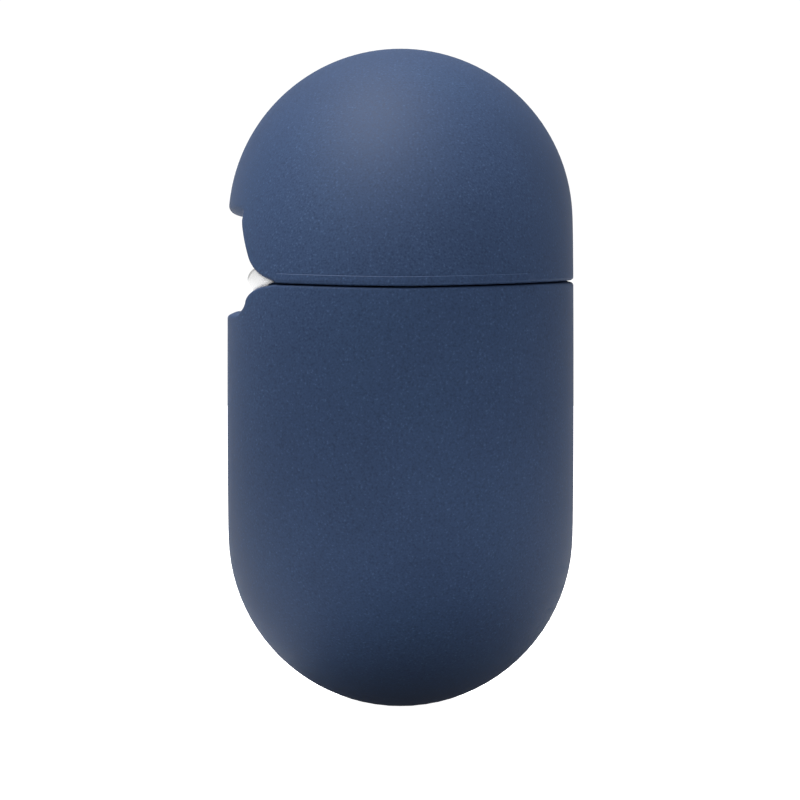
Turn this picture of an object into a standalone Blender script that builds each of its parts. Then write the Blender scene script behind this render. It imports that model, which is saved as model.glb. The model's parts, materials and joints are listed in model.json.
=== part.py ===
"""Wireless earbuds charging case inside its two-piece soft cover.

Frame: X runs across the width, Y through the depth (front at -Y, hinge at +Y), Z up.
The origin is under the middle of the rounded bottom. All lengths are in metres.

Every shell is a pill: a flat rounded plate in the XZ plane, grown outwards by a ball.
Growing the same plate by another radius gives the next skin, so all walls are even.
"""

import math

import bmesh
import bpy
from mathutils import Matrix, Vector

MM = 0.001
FIT = 0.3 * MM  # clearance between neighbouring pieces
FINE_FIT = 0.2 * MM  # clearance between small pieces

# The plate that every pill grows from, and the ball radius of each skin.
PLATE_HALF_WIDTH = 19.45 * MM
PLATE_HALF_HEIGHT = 11.35 * MM
PLATE_CORNER = 10.15 * MM
CASE_RADIUS = 10.85 * MM
CASE_WALL = 1.3 * MM
COVER_WALL = 1.3 * MM
CASE_INSIDE = CASE_RADIUS - CASE_WALL
LINING_RADIUS = CASE_INSIDE - FIT
COVER_INSIDE = CASE_RADIUS + FIT
COVER_RADIUS = COVER_INSIDE + COVER_WALL
CENTRE_Z = PLATE_HALF_HEIGHT + COVER_RADIUS
CORNER_STEPS = 8
ROUND_STEPS = 6

# The parting line, and the hinge axis that lies on it.
SEAM_Z = 30.8 * MM
SEAM_GAP = 0.3 * MM
LID_BOTTOM = SEAM_Z + SEAM_GAP / 2
BASE_TOP = SEAM_Z - SEAM_GAP / 2
HINGE_Y = 9.9 * MM
HINGE_REACH = 24.2 * MM  # half the slot that both case shells leave for the barrel
BARREL_RADIUS = 1.1 * MM
BARREL_BORE = 0.6 * MM
PIN_RADIUS = 0.5 * MM
LEAF_THICKNESS = 0.8 * MM
LEAF_BACK = CASE_INSIDE - FIT
LEAF_FRONT = LEAF_BACK - LEAF_THICKNESS
LEAF_HEIGHT = 4.6 * MM
LID_KNUCKLE_HALF = 14.0 * MM
BASE_LEAF_HALF = 19.4 * MM

# The cover's back notch, which clears the hinge as the lid swings over.
NOTCH_TOP = 5.0 * MM
NOTCH_BOTTOM = 2.5 * MM
NOTCH_CORNER = 0.9 * MM
NOTCH_HALF_WIDTH = 24.2 * MM
NOTCH_TOP_HALF_WIDTH = 19.4 * MM
FLARE_REACH = 27.6 * MM
LID_FLARE_RADIUS = 6.0 * MM
BASE_FLARE_HEIGHT = 1.6 * MM

# Wells for two earbuds: a bowl for each head and a round bore for each stem.
WELL_X = 13.0 * MM
BOWL = Vector((8.6, 7.1, 9.0)) * MM
STEM_X = 15.0 * MM
STEM_RADIUS = 3.6 * MM
WELL_FLOOR = 9.0 * MM
LINING_WALL = 0.9 * MM
DECK_DROP = 0.8 * MM
DECK_THICKNESS = 1.0 * MM

# Charging pins in the floor of each stem bore.
PIN_SPACING = 2.6 * MM
CONTACT_RADIUS = 0.45 * MM
CONTACT_PROUD = 0.9 * MM
CONTACT_LENGTH = 3.2 * MM
CONTACT_BARREL_RADIUS = 0.95 * MM
CONTACT_BORE = 0.62 * MM
CONTACT_BARREL_HEIGHT = 2.4 * MM

# Pairing button in the back wall, with its switch on the board.
BUTTON_Z = 18.2 * MM
BUTTON_RADIUS = 3.9 * MM
BUTTON_FLANGE = 4.5 * MM
BUTTON_STEM_RADIUS = 1.4 * MM
BUTTON_GAP = 0.3 * MM
COVER_BUTTON_HOLE = 4.8 * MM

# Port, status light, board and battery.
PORT_HALF_WIDTH = 4.45 * MM
PORT_HALF_DEPTH = 1.6 * MM
PORT_WALL = 0.35 * MM
PORT_MOUTH_Z = 1.85 * MM
PORT_BACK_Z = 9.0 * MM
COVER_PORT_HALF_WIDTH = 6.6 * MM
COVER_PORT_HALF_DEPTH = 3.4 * MM
LIGHT_Z = 27.2 * MM
LIGHT_RADIUS = 0.6 * MM
BOARD_Y = 1.95 * MM
BOARD_THICKNESS = 0.8 * MM
BOARD_HALF_WIDTH = 9.6 * MM
BOARD_BOTTOM = 9.8 * MM
BOARD_TOP = 21.2 * MM
BATTERY_TOP = 21.4 * MM
BATTERY_FRONT = -7.0 * MM
BATTERY_BACK = 1.2 * MM

# Charging coil and its shield, which circle the button.
COIL_HALF_WIDTH = 13.0 * MM
COIL_HALF_HEIGHT = 7.9 * MM
COIL_RING = 2.9 * MM
COIL_THICKNESS = 0.7 * MM
SHIELD_THICKNESS = 0.4 * MM

SIDES = 24
SMALL_SIDES = 12
PAST = 2.0 * MM  # how far a cutter runs past what it cuts
FAR = 80 * MM  # larger than the whole object
WELD = 1e-7

COLOURS = {
    "cover": ((0.043, 0.078, 0.155), 0.62, 0.0),
    "case": ((0.86, 0.86, 0.85), 0.18, 0.0),
    "lining": ((0.80, 0.80, 0.79), 0.38, 0.0),
    "steel": ((0.62, 0.62, 0.64), 0.28, 1.0),
    "magnet": ((0.45, 0.46, 0.48), 0.35, 1.0),
    "battery": ((0.55, 0.56, 0.58), 0.45, 0.6),
    "board": ((0.02, 0.10, 0.05), 0.5, 0.0),
    "chip": ((0.02, 0.02, 0.02), 0.5, 0.0),
    "copper": ((0.72, 0.34, 0.16), 0.35, 1.0),
    "ferrite": ((0.05, 0.05, 0.055), 0.7, 0.0),
    "flex": ((0.55, 0.27, 0.05), 0.4, 0.0),
    "gold": ((0.85, 0.62, 0.25), 0.25, 1.0),
    "light": ((0.80, 0.85, 0.80), 0.15, 0.0),
    "adhesive": ((0.75, 0.75, 0.70), 0.8, 0.0),
}


def clear_scene():
    for obj in list(bpy.data.objects):
        bpy.data.objects.remove(obj)


def collection(name):
    made = bpy.data.collections.new(name)
    bpy.context.scene.collection.children.link(made)
    return made


clear_scene()
PARTS = collection("earbuds_case")
CUTTERS = collection("cutters")


def material(slot):
    found = bpy.data.materials.get(slot)
    if found:
        return found
    colour, roughness, metallic = COLOURS[slot]
    made = bpy.data.materials.new(slot)
    made.use_nodes = True
    shader = made.node_tree.nodes["Principled BSDF"]
    shader.inputs["Base Color"].default_value = (*colour, 1)
    shader.inputs["Roughness"].default_value = roughness
    shader.inputs["Metallic"].default_value = metallic
    return made


# ---- Making shapes ----


def add(name, mesh, slot=None):
    """A part of the object if it has a material slot, and a hidden cutter if it has none."""
    obj = bpy.data.objects.new(name, mesh)
    if slot:
        mesh.materials.clear()
        mesh.materials.append(material(slot))
        PARTS.objects.link(obj)
    else:
        obj.hide_render = True
        obj.display_type = "WIRE"
        CUTTERS.objects.link(obj)
    return obj


def finished(name, bm, place, slot):
    bmesh.ops.recalc_face_normals(bm, faces=bm.faces)
    mesh = bpy.data.meshes.new(name)
    bm.to_mesh(mesh)
    bm.free()
    mesh.shade_smooth()
    mesh.set_sharp_from_angle(angle=math.radians(30))
    obj = add(name, mesh, slot)
    obj.matrix_world = place
    return obj


def block(name, low, high, slot=None):
    low = Vector(low)
    high = Vector(high)
    bm = bmesh.new()
    bmesh.ops.create_cube(bm, size=1)
    bmesh.ops.scale(bm, vec=high - low, verts=bm.verts)
    return finished(name, bm, Matrix.Translation((low + high) / 2), slot)


AXIS_TURN = {
    "X": Matrix.Rotation(math.pi / 2, 4, "Y"),
    "Y": Matrix.Rotation(-math.pi / 2, 4, "X"),
    "Z": Matrix.Identity(4),
}


def rod(name, radius, start, length, axis, slot=None, sides=SIDES):
    """A cylinder from its start point, running the given length along +X, +Y or +Z."""
    bm = bmesh.new()
    bmesh.ops.create_cone(
        bm, cap_ends=True, segments=sides, radius1=radius, radius2=radius, depth=length,
        matrix=Matrix.Translation((0, 0, length / 2)),
    )
    return finished(name, bm, Matrix.Translation(start) @ AXIS_TURN[axis], slot)


def ellipsoid(name, centre, radii, slot=None):
    bm = bmesh.new()
    bmesh.ops.create_uvsphere(bm, u_segments=20, v_segments=12, radius=1)
    bmesh.ops.scale(bm, vec=radii, verts=bm.verts)
    return finished(name, bm, Matrix.Translation(centre), slot)


def arc(centre, radii, start, end, steps):
    """Points along an elliptical arc in a plane, from one angle in degrees to another."""
    points = []
    for step in range(steps + 1):
        angle = math.radians(start + (end - start) * step / steps)
        across = centre[0] + radii[0] * math.cos(angle)
        up = centre[1] + radii[1] * math.sin(angle)
        points.append((across, up))
    return points


def rounded_rectangle(half_width, half_height, corner, steps):
    """Outline with round corners, counter-clockwise from the right-hand side."""
    across = half_width - corner
    up = half_height - corner
    radii = (corner, corner)
    points = arc((across, up), radii, 0, 90, steps)
    points += arc((-across, up), radii, 90, 180, steps)
    points += arc((-across, -up), radii, 180, 270, steps)
    points += arc((across, -up), radii, 270, 360, steps)
    return points


def sheet(name, outlines, plane, middle, thickness, slot=None, round_radius=0.0):
    """A flat outline, with any holes in it, filled and given a thickness.

    plane "XZ" faces +Y and plane "XY" faces +Z; middle is the point that the outline is drawn
    about. A round_radius grows the sheet by a ball of that radius.
    """
    curve = bpy.data.curves.new(name, "CURVE")
    curve.dimensions = "2D"
    curve.fill_mode = "BOTH"
    curve.extrude = thickness / 2
    curve.bevel_depth = round_radius
    curve.bevel_resolution = ROUND_STEPS
    for outline in outlines:
        spline = curve.splines.new("POLY")
        spline.points.add(len(outline) - 1)
        for point, (across, up) in zip(spline.points, outline):
            point.co = (across, up, 0, 1)
        spline.use_cyclic_u = True
    drawn = bpy.data.objects.new(name, curve)
    bpy.context.scene.collection.objects.link(drawn)
    turn = Matrix.Rotation(math.pi / 2, 4, "X") if plane == "XZ" else Matrix.Identity(4)
    bpy.context.view_layer.update()
    graph = bpy.context.evaluated_depsgraph_get()
    mesh = bpy.data.meshes.new_from_object(drawn.evaluated_get(graph))
    bpy.data.objects.remove(drawn)
    bm = bmesh.new()
    bm.from_mesh(mesh)
    bpy.data.meshes.remove(mesh)
    bmesh.ops.remove_doubles(bm, verts=bm.verts, dist=WELD)
    return finished(name, bm, Matrix.Translation(middle) @ turn, slot)


def pill(name, radius, slot=None):
    """The plate grown by a ball: the outside or the inside of a shell."""
    outline = rounded_rectangle(PLATE_HALF_WIDTH, PLATE_HALF_HEIGHT, PLATE_CORNER, CORNER_STEPS)
    return sheet(name, [outline], "XZ", (0, 0, CENTRE_Z), 0, slot, round_radius=radius)


def turned(name, profile, base, axis, slot):
    """A solid turned about an axis from (radius, height) points, listed from its top down."""
    bm = bmesh.new()
    points = [bm.verts.new((radius, 0, height)) for radius, height in profile]
    for first, second in zip(points, points[1:]):
        bm.edges.new((first, second))
    mesh = bpy.data.meshes.new(name)
    bm.to_mesh(mesh)
    bm.free()
    obj = add(name, mesh, slot)
    obj.matrix_world = Matrix.Translation(base) @ AXIS_TURN[axis]
    screw = obj.modifiers.new("turn", "SCREW")
    screw.steps = screw.render_steps = SMALL_SIDES
    screw.use_merge_vertices = True
    screw.merge_threshold = WELD
    return obj


def combine(obj, other, operation):
    modifier = obj.modifiers.new(f"{operation.lower()} {other.name}", "BOOLEAN")
    modifier.operation = operation
    modifier.object = other
    return obj


def cut(obj, *cutters):
    for cutter in cutters:
        combine(obj, cutter, "DIFFERENCE")
    return obj


def join(obj, *others):
    for other in others:
        combine(obj, other, "UNION")
    return obj


def keep(obj, *others):
    for other in others:
        combine(obj, other, "INTERSECT")
    return obj


# ---- Cutters that several pieces share ----

below_lid = block("cut_below_lid", (-FAR, -FAR, -FAR), (FAR, FAR, LID_BOTTOM))
above_base = block("cut_above_base", (-FAR, -FAR, BASE_TOP), (FAR, FAR, FAR))
cover_hollow = pill("cut_cover_hollow", COVER_INSIDE)
case_hollow = pill("cut_case_hollow", CASE_INSIDE)


def hinge_slot():
    """The slot around the barrel that the two case shells share."""
    reach = BARREL_RADIUS + FIT
    outline = rounded_rectangle(HINGE_REACH, reach, NOTCH_CORNER, 3)
    depth = 2 * (CASE_RADIUS - HINGE_Y + PAST)
    middle = (0, HINGE_Y, SEAM_Z)
    return sheet("cut_hinge_slot", [outline], "XZ", middle, depth)


def back_notch():
    """The cover's notch seen from behind: a wide slot whose ends flare out at the seam."""
    corner = (NOTCH_CORNER, NOTCH_CORNER)
    base_corner = (NOTCH_HALF_WIDTH - NOTCH_CORNER, NOTCH_CORNER - NOTCH_BOTTOM)
    base_flare = (FLARE_REACH - NOTCH_HALF_WIDTH, BASE_FLARE_HEIGHT)
    lid_flare = (LID_FLARE_RADIUS, LID_FLARE_RADIUS)
    lid_corner = (NOTCH_TOP_HALF_WIDTH, NOTCH_TOP - NOTCH_CORNER)
    right = arc(base_corner, corner, 270, 360, 3)
    right += arc((FLARE_REACH, -BASE_FLARE_HEIGHT), base_flare, 180, 90, 6)
    right += arc((FLARE_REACH, LID_FLARE_RADIUS), lid_flare, 270, 230, 5)[1:]
    right += arc(lid_corner, corner, 50, 90, 2)
    left = [(-across, up) for across, up in reversed(right)]
    depth = 2 * (COVER_RADIUS - HINGE_Y + PAST)
    return sheet("cut_back_notch", [right + left], "XZ", (0, COVER_RADIUS, SEAM_Z), depth)


slot_cut = hinge_slot()
notch_cut = back_notch()


# ---- Protective cover ----


def cover_lid():
    lid = cut(pill("cover_lid", COVER_RADIUS, "cover"), cover_hollow, below_lid, notch_cut)
    recess = STRIP_THICKNESS + 2 * FINE_FIT - FIT
    low, high = strip_box(FINE_FIT)
    low.y = -COVER_INSIDE - recess
    high.y = -CASE_RADIUS
    return cut(lid, block("cut_strip_recess", low, high))


STRIP_THICKNESS = 0.25 * MM
STRIP_HALF_LENGTH = 10.0 * MM
STRIP_HEIGHT = 2.6 * MM
STRIP_BOTTOM = 32.5 * MM


def strip_box(margin):
    """Corners of the adhesive strip on the lid's front wall, grown by a margin."""
    front = -CASE_RADIUS - FINE_FIT
    low = Vector((-STRIP_HALF_LENGTH, front - STRIP_THICKNESS, STRIP_BOTTOM))
    high = Vector((STRIP_HALF_LENGTH, front, STRIP_BOTTOM + STRIP_HEIGHT))
    grow = Vector((margin, margin, margin))
    return low - grow, high + grow


def cover_base():
    base = cut(pill("cover_base", COVER_RADIUS, "cover"), cover_hollow, above_base, notch_cut)
    port = stadium(COVER_PORT_HALF_WIDTH, COVER_PORT_HALF_DEPTH)
    port_cut = sheet("cut_cover_port", [port], "XY", (0, 0, 0), 2 * PAST)
    button_start = (0, CASE_RADIUS, BUTTON_Z)
    button_cut = rod("cut_cover_button", COVER_BUTTON_HOLE, button_start, PAST + PAST, "Y")
    light_start = (0, -COVER_RADIUS - PAST, LIGHT_Z)
    light_cut = rod(
        "cut_cover_light", 2 * LIGHT_RADIUS, light_start, 2 * PAST, "Y", sides=SMALL_SIDES
    )
    return cut(base, port_cut, button_cut, light_cut)


def stadium(half_width, half_depth, steps=6):
    return rounded_rectangle(half_width, half_depth, half_depth * 0.999, steps)


def adhesive_strip():
    low, high = strip_box(0)
    block("cover_adhesive_strip", low, high, "adhesive")


# ---- Charging case shells and linings ----


def lid_shell():
    shell = cut(pill("lid_shell", CASE_RADIUS, "case"), case_hollow, below_lid, slot_cut)
    return cut(shell, *screw_pilots("lid", LID_SCREW_X, LID_SCREW_Z))


def base_shell():
    shell = cut(pill("base_shell", CASE_RADIUS, "case"), case_hollow, above_base, slot_cut)
    port = stadium(PORT_HALF_WIDTH + FIT, PORT_HALF_DEPTH + FIT)
    port_z = CENTRE_Z - PLATE_HALF_HEIGHT - CASE_RADIUS
    port_cut = sheet("cut_port", [port], "XY", (0, 0, port_z), 2 * PAST)
    button_start = (0, CASE_INSIDE - FIT, BUTTON_Z)
    button_cut = rod("cut_button", BUTTON_RADIUS + BUTTON_GAP, button_start, PAST, "Y")
    light_start = (0, -CASE_RADIUS - PAST / 2, LIGHT_Z)
    light_radius = LIGHT_RADIUS + FIT
    light_cut = rod("cut_light", light_radius, light_start, 2 * PAST, "Y", sides=SMALL_SIDES)
    pilots = screw_pilots("base", BASE_SCREW_X, BASE_SCREW_Z)
    return cut(shell, port_cut, button_cut, light_cut, *pilots)


def hinge_relief():
    """Room in the linings for the barrel, both leaves and the screw heads."""
    front = LEAF_FRONT - FIT
    reach = LEAF_HEIGHT + FIT
    low = (-HINGE_REACH, front, SEAM_Z - reach)
    high = (HINGE_REACH, HINGE_Y + PAST, SEAM_Z + reach)
    return block("cut_hinge_relief", low, high)


relief_cut = hinge_relief()


def cradle():
    """Deck inside the base's mouth, with a bowl and a stem bore for each earbud."""
    top = SEAM_Z - DECK_DROP
    bottom = top - DECK_THICKNESS
    deck = pill("cradle", LINING_RADIUS, "lining")
    slab = block("cut_deck_slab", (-FAR, -FAR, bottom), (FAR, FAR, top))
    above_deck = block("cut_above_deck", (-FAR, -FAR, top), (FAR, FAR, FAR))
    keep(deck, slab)
    wall = Vector((LINING_WALL, LINING_WALL, LINING_WALL))
    voids = []
    for side, name in ((-1, "left"), (1, "right")):
        centre = (side * WELL_X, 0, SEAM_Z)
        stem = (side * STEM_X, 0, WELL_FLOOR)
        below = (side * STEM_X, 0, WELL_FLOOR - LINING_WALL)
        length = SEAM_Z - BOWL.z / 2 - WELL_FLOOR
        outer_bowl = cut(ellipsoid(f"join_bowl_{name}", centre, BOWL + wall), above_deck)
        outer_stem = rod(f"join_stem_{name}", STEM_RADIUS + LINING_WALL, below, length, "Z")
        join(deck, outer_bowl, outer_stem)
        voids.append(ellipsoid(f"cut_bowl_{name}", centre, BOWL))
        voids.append(rod(f"cut_stem_{name}", STEM_RADIUS, stem, length, "Z"))
    cut(deck, *voids, relief_cut)
    for name, x in CONTACTS.items():
        start = (x, 0, WELL_FLOOR - PAST)
        hole = CONTACT_BORE
        cut(deck, rod(f"cut_{name}", hole, start, 2 * PAST, "Z", sides=SMALL_SIDES))


def lid_liner():
    """Flange inside the lid's mouth, with a dome over each earbud's head."""
    bottom = LID_BOTTOM + FIT
    top = bottom + DECK_THICKNESS
    liner = pill("lid_liner", LINING_RADIUS, "lining")
    slab = block("cut_flange_slab", (-FAR, -FAR, bottom), (FAR, FAR, top))
    below_flange = block("cut_below_flange", (-FAR, -FAR, -FAR), (FAR, FAR, bottom))
    keep(liner, slab)
    wall = Vector((LINING_WALL, LINING_WALL, LINING_WALL))
    voids = []
    for side, name in ((-1, "left"), (1, "right")):
        centre = (side * WELL_X, 0, SEAM_Z)
        dome = cut(ellipsoid(f"join_dome_{name}", centre, BOWL + wall), below_flange)
        join(liner, dome)
        voids.append(ellipsoid(f"cut_dome_{name}", centre, BOWL))
    cut(liner, *voids, relief_cut)


# ---- Hinge ----

BASE_SCREW_X = (-16.8 * MM, -6.0 * MM, 6.0 * MM, 16.8 * MM)
LID_SCREW_X = (-9.0 * MM, 9.0 * MM)
SCREW_OFFSET = 3.2 * MM
BASE_SCREW_Z = SEAM_Z - SCREW_OFFSET
LID_SCREW_Z = SEAM_Z + SCREW_OFFSET
SCREW_RADIUS = 0.5 * MM
SCREW_HEAD_RADIUS = 0.95 * MM
SCREW_HEAD = 0.4 * MM
SCREW_DEPTH = 0.7 * MM  # how far a screw reaches into the shell's wall


def screw_pilots(body, places, z):
    """Blind holes in a shell's back wall for the hinge screws."""
    start = CASE_INSIDE - FIT
    depth = FIT + SCREW_DEPTH + FINE_FIT
    radius = SCREW_RADIUS + FINE_FIT
    return [
        rod(f"cut_{body}_pilot_{n}", radius, (x, start, z), depth, "Y", sides=SMALL_SIDES)
        for n, x in enumerate(places, 1)
    ]


def hinge_bracket(name, plate_low, plate_high, knuckles, tabs, screw_x, screw_z):
    """A leaf plate with its knuckles, bored for the pin and drilled for its screws."""
    leaf = block(name, plate_low, plate_high, "steel")
    axis_bore = rod(
        f"cut_{name}_bore", BARREL_BORE, (-FAR / 2, HINGE_Y, SEAM_Z), FAR, "X"
    )
    for n, (low, high) in enumerate(tabs, 1):
        join(leaf, block(f"join_{name}_tab_{n}", low, high))
    for n, (start, end) in enumerate(knuckles, 1):
        place = (start, HINGE_Y, SEAM_Z)
        join(leaf, rod(f"join_{name}_knuckle_{n}", BARREL_RADIUS, place, end - start, "X"))
    cut(leaf, axis_bore)
    for n, x in enumerate(screw_x, 1):
        start = (x, LEAF_FRONT - PAST, screw_z)
        radius = SCREW_RADIUS + FINE_FIT
        hole = rod(f"cut_{name}_hole_{n}", radius, start, 2 * PAST, "Y", sides=SMALL_SIDES)
        cut(leaf, hole)


def hinge():
    """Lid leaf with the long middle knuckle, base leaf with an end knuckle on each side."""
    end = HINGE_REACH - FIT
    inner = LID_KNUCKLE_HALF + FIT
    lid_low = (-LID_KNUCKLE_HALF, LEAF_FRONT, SEAM_Z)
    lid_high = (LID_KNUCKLE_HALF, LEAF_BACK, SEAM_Z + LEAF_HEIGHT)
    lid_knuckle = [(-LID_KNUCKLE_HALF, LID_KNUCKLE_HALF)]
    hinge_bracket(
        "hinge_lid_leaf", lid_low, lid_high, lid_knuckle, [], LID_SCREW_X, LID_SCREW_Z
    )
    plate_top = SEAM_Z - BARREL_RADIUS - 2 * FIT
    base_low = (-BASE_LEAF_HALF, LEAF_FRONT, SEAM_Z - LEAF_HEIGHT)
    base_high = (BASE_LEAF_HALF, LEAF_BACK, plate_top)
    knuckles = [(-end, -inner), (inner, end)]
    tabs = [
        ((start, LEAF_FRONT, plate_top - FIT), (stop, LEAF_BACK, SEAM_Z))
        for start, stop in ((-BASE_LEAF_HALF, -inner), (inner, BASE_LEAF_HALF))
    ]
    hinge_bracket(
        "hinge_base_leaf", base_low, base_high, knuckles, tabs, BASE_SCREW_X, BASE_SCREW_Z
    )
    pin_start = (-end, HINGE_Y, SEAM_Z)
    rod("hinge_pin", PIN_RADIUS, pin_start, 2 * end, "X", "steel")
    for body, places, z in (
        ("lid", LID_SCREW_X, LID_SCREW_Z),
        ("base", BASE_SCREW_X, BASE_SCREW_Z),
    ):
        for n, x in enumerate(places, 1):
            hinge_screw(f"{body}_hinge_screw_{n}", x, z)


def hinge_screw(name, x, z):
    """Flat-headed screw through a leaf, its head at the front and its tip in the wall."""
    head_front = LEAF_FRONT - FINE_FIT - SCREW_HEAD
    length = CASE_INSIDE + SCREW_DEPTH - head_front
    profile = [
        (0, length),
        (SCREW_RADIUS, length),
        (SCREW_RADIUS, SCREW_HEAD),
        (SCREW_HEAD_RADIUS, SCREW_HEAD),
        (SCREW_HEAD_RADIUS, 0),
        (0, 0),
    ]
    turned(name, profile, (x, head_front, z), "Y", "steel")


# ---- Magnets ----

MAGNET_X = 4.3 * MM
MAGNET_SIZE = Vector((4.4, 2.0, 1.8)) * MM
MAGNET_Y = -7.6 * MM
STEM_MAGNET_RADIUS = 2.0 * MM
STEM_MAGNET_THICKNESS = 1.6 * MM
STEM_MAGNET_Z = 15.0 * MM


def magnets():
    """Closure magnets behind the front edge, and one beside each stem bore."""
    half = MAGNET_SIZE / 2
    lid_z = LID_BOTTOM + FIT + DECK_THICKNESS + FIT + half.z
    base_z = SEAM_Z - DECK_DROP - DECK_THICKNESS - FIT - half.z
    for body, z in (("lid", lid_z), ("base", base_z)):
        for side, name in ((-1, "left"), (1, "right")):
            centre = Vector((side * MAGNET_X, MAGNET_Y, z))
            block(f"{body}_closure_magnet_{name}", centre - half, centre + half, "magnet")
    back = -STEM_RADIUS - LINING_WALL - FIT
    for side, name in ((-1, "left"), (1, "right")):
        start = (side * STEM_X, back - STEM_MAGNET_THICKNESS, STEM_MAGNET_Z)
        rod(
            f"earbud_magnet_{name}", STEM_MAGNET_RADIUS, start, STEM_MAGNET_THICKNESS, "Y",
            "magnet", SMALL_SIDES,
        )


# ---- Charging contacts ----

CONTACTS = {
    f"contact_pin_{side_name}_{n}": side * STEM_X + offset
    for side, side_name in ((-1, "left"), (1, "right"))
    for n, offset in ((1, -PIN_SPACING / 2), (2, PIN_SPACING / 2))
}


def contacts():
    """Sprung pins in the floor of each stem bore, each in its own barrel."""
    top = WELL_FLOOR + CONTACT_PROUD
    barrel_top = WELL_FLOOR - LINING_WALL - FINE_FIT
    for name, x in CONTACTS.items():
        rod(name, CONTACT_RADIUS, (x, 0, top - CONTACT_LENGTH), CONTACT_LENGTH, "Z", "gold",
            SMALL_SIDES)
        foot = barrel_top - CONTACT_BARREL_HEIGHT
        barrel = rod(
            name.replace("pin", "barrel"), CONTACT_BARREL_RADIUS, (x, 0, foot),
            CONTACT_BARREL_HEIGHT, "Z", "gold", SMALL_SIDES,
        )
        bore_start = (x, 0, foot + LEAF_THICKNESS / 2)
        cut(barrel, rod(f"cut_{name}_bore", CONTACT_BORE, bore_start, CONTACT_BARREL_HEIGHT, "Z",
                        sides=SMALL_SIDES))


FLEX_THICKNESS = 0.2 * MM
CONTACT_FLEX_Z = 5.1 * MM
CONTACT_FLEX_END = 17.2 * MM
CONTACT_FLEX_HALF = 1.4 * MM
PORT_TAB_HALF = 6.2 * MM


def contact_flexes():
    """Flat circuits under the barrels, one to each side of the board's lower tab."""
    inner = PORT_TAB_HALF + FIT
    elbow = inner + 2 * CONTACT_FLEX_HALF
    back = BOARD_Y + BOARD_THICKNESS
    for side, name in ((-1, "left"), (1, "right")):
        outline = [
            (side * inner, -CONTACT_FLEX_HALF),
            (side * CONTACT_FLEX_END, -CONTACT_FLEX_HALF),
            (side * CONTACT_FLEX_END, CONTACT_FLEX_HALF),
            (side * elbow, CONTACT_FLEX_HALF),
            (side * elbow, back),
            (side * inner, back),
        ]
        sheet(f"contact_flex_{name}", [outline], "XY", (0, 0, CONTACT_FLEX_Z), FLEX_THICKNESS,
              "flex")


# ---- Button, board, battery, port and status light ----

SWITCH_HALF = 2.25 * MM
SWITCH_BODY = 1.4 * MM
SWITCH_PLUNGER_RADIUS = 1.0 * MM
SWITCH_PLUNGER = 0.6 * MM
BUTTON_TRAVEL = 0.4 * MM
CHIPS = {
    "charging_controller": (-6.3 * MM, 13.2 * MM, 2.2 * MM, 2.2 * MM, 0.9 * MM),
    "power_inductor": (6.4 * MM, 13.0 * MM, 1.8 * MM, 1.8 * MM, 1.4 * MM),
    "radio_chip": (6.4 * MM, 18.6 * MM, 2.0 * MM, 2.4 * MM, 0.8 * MM),
}


def back_of_board():
    return BOARD_Y + BOARD_THICKNESS


def pairing_button():
    """Round cap flush with the case's back, with a flange inside and a stem to the switch."""
    plunger_end = back_of_board() + FINE_FIT + SWITCH_BODY + SWITCH_PLUNGER
    stem_end = plunger_end + BUTTON_TRAVEL + FINE_FIT / 2
    flange_back = CASE_INSIDE - FIT
    flange_front = flange_back - LEAF_THICKNESS
    face = CASE_RADIUS - FINE_FIT / 2
    profile = [
        (0, face),
        (BUTTON_RADIUS, face),
        (BUTTON_RADIUS, flange_back),
        (BUTTON_FLANGE, flange_back),
        (BUTTON_FLANGE, flange_front),
        (BUTTON_STEM_RADIUS, flange_front),
        (BUTTON_STEM_RADIUS, stem_end),
        (0, stem_end),
    ]
    button = turned("pairing_button", profile, (0, 0, BUTTON_Z), "Y", "case")
    button.modifiers["turn"].steps = SIDES
    button.modifiers["turn"].render_steps = SIDES


def pairing_switch():
    start = back_of_board() + FINE_FIT
    low = (-SWITCH_HALF, start, BUTTON_Z - SWITCH_HALF)
    high = (SWITCH_HALF, start + SWITCH_BODY, BUTTON_Z + SWITCH_HALF)
    body = block("pairing_switch", low, high, "steel")
    plunger_start = (0, start + SWITCH_BODY / 2, BUTTON_Z)
    length = SWITCH_BODY / 2 + SWITCH_PLUNGER
    join(body, rod("join_plunger", SWITCH_PLUNGER_RADIUS, plunger_start, length, "Y",
                   sides=SMALL_SIDES))


def main_board():
    """T-shaped board: a wide upper part, and a tab down beside the port."""
    tab_bottom = CONTACT_FLEX_Z - 0.8 * MM
    outline = [
        (-PORT_TAB_HALF, tab_bottom),
        (PORT_TAB_HALF, tab_bottom),
        (PORT_TAB_HALF, BOARD_BOTTOM),
        (BOARD_HALF_WIDTH, BOARD_BOTTOM),
        (BOARD_HALF_WIDTH, BOARD_TOP),
        (-BOARD_HALF_WIDTH, BOARD_TOP),
        (-BOARD_HALF_WIDTH, BOARD_BOTTOM),
        (-PORT_TAB_HALF, BOARD_BOTTOM),
    ]
    middle = (0, BOARD_Y + BOARD_THICKNESS / 2, 0)
    sheet("main_board", [outline], "XZ", middle, BOARD_THICKNESS, "board")
    start = back_of_board() + FINE_FIT
    for name, (x, z, half_width, half_height, thickness) in CHIPS.items():
        low = (x - half_width, start, z - half_height)
        high = (x + half_width, start + thickness, z + half_height)
        block(name, low, high, "chip")


def battery():
    low = (-BOARD_HALF_WIDTH, BATTERY_FRONT, BOARD_BOTTOM)
    high = (BOARD_HALF_WIDTH, BATTERY_BACK, BATTERY_TOP)
    cell = block("battery", low, high, "battery")
    rounding = cell.modifiers.new("round", "BEVEL")
    rounding.width = 1.2 * MM
    rounding.segments = 3


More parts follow.
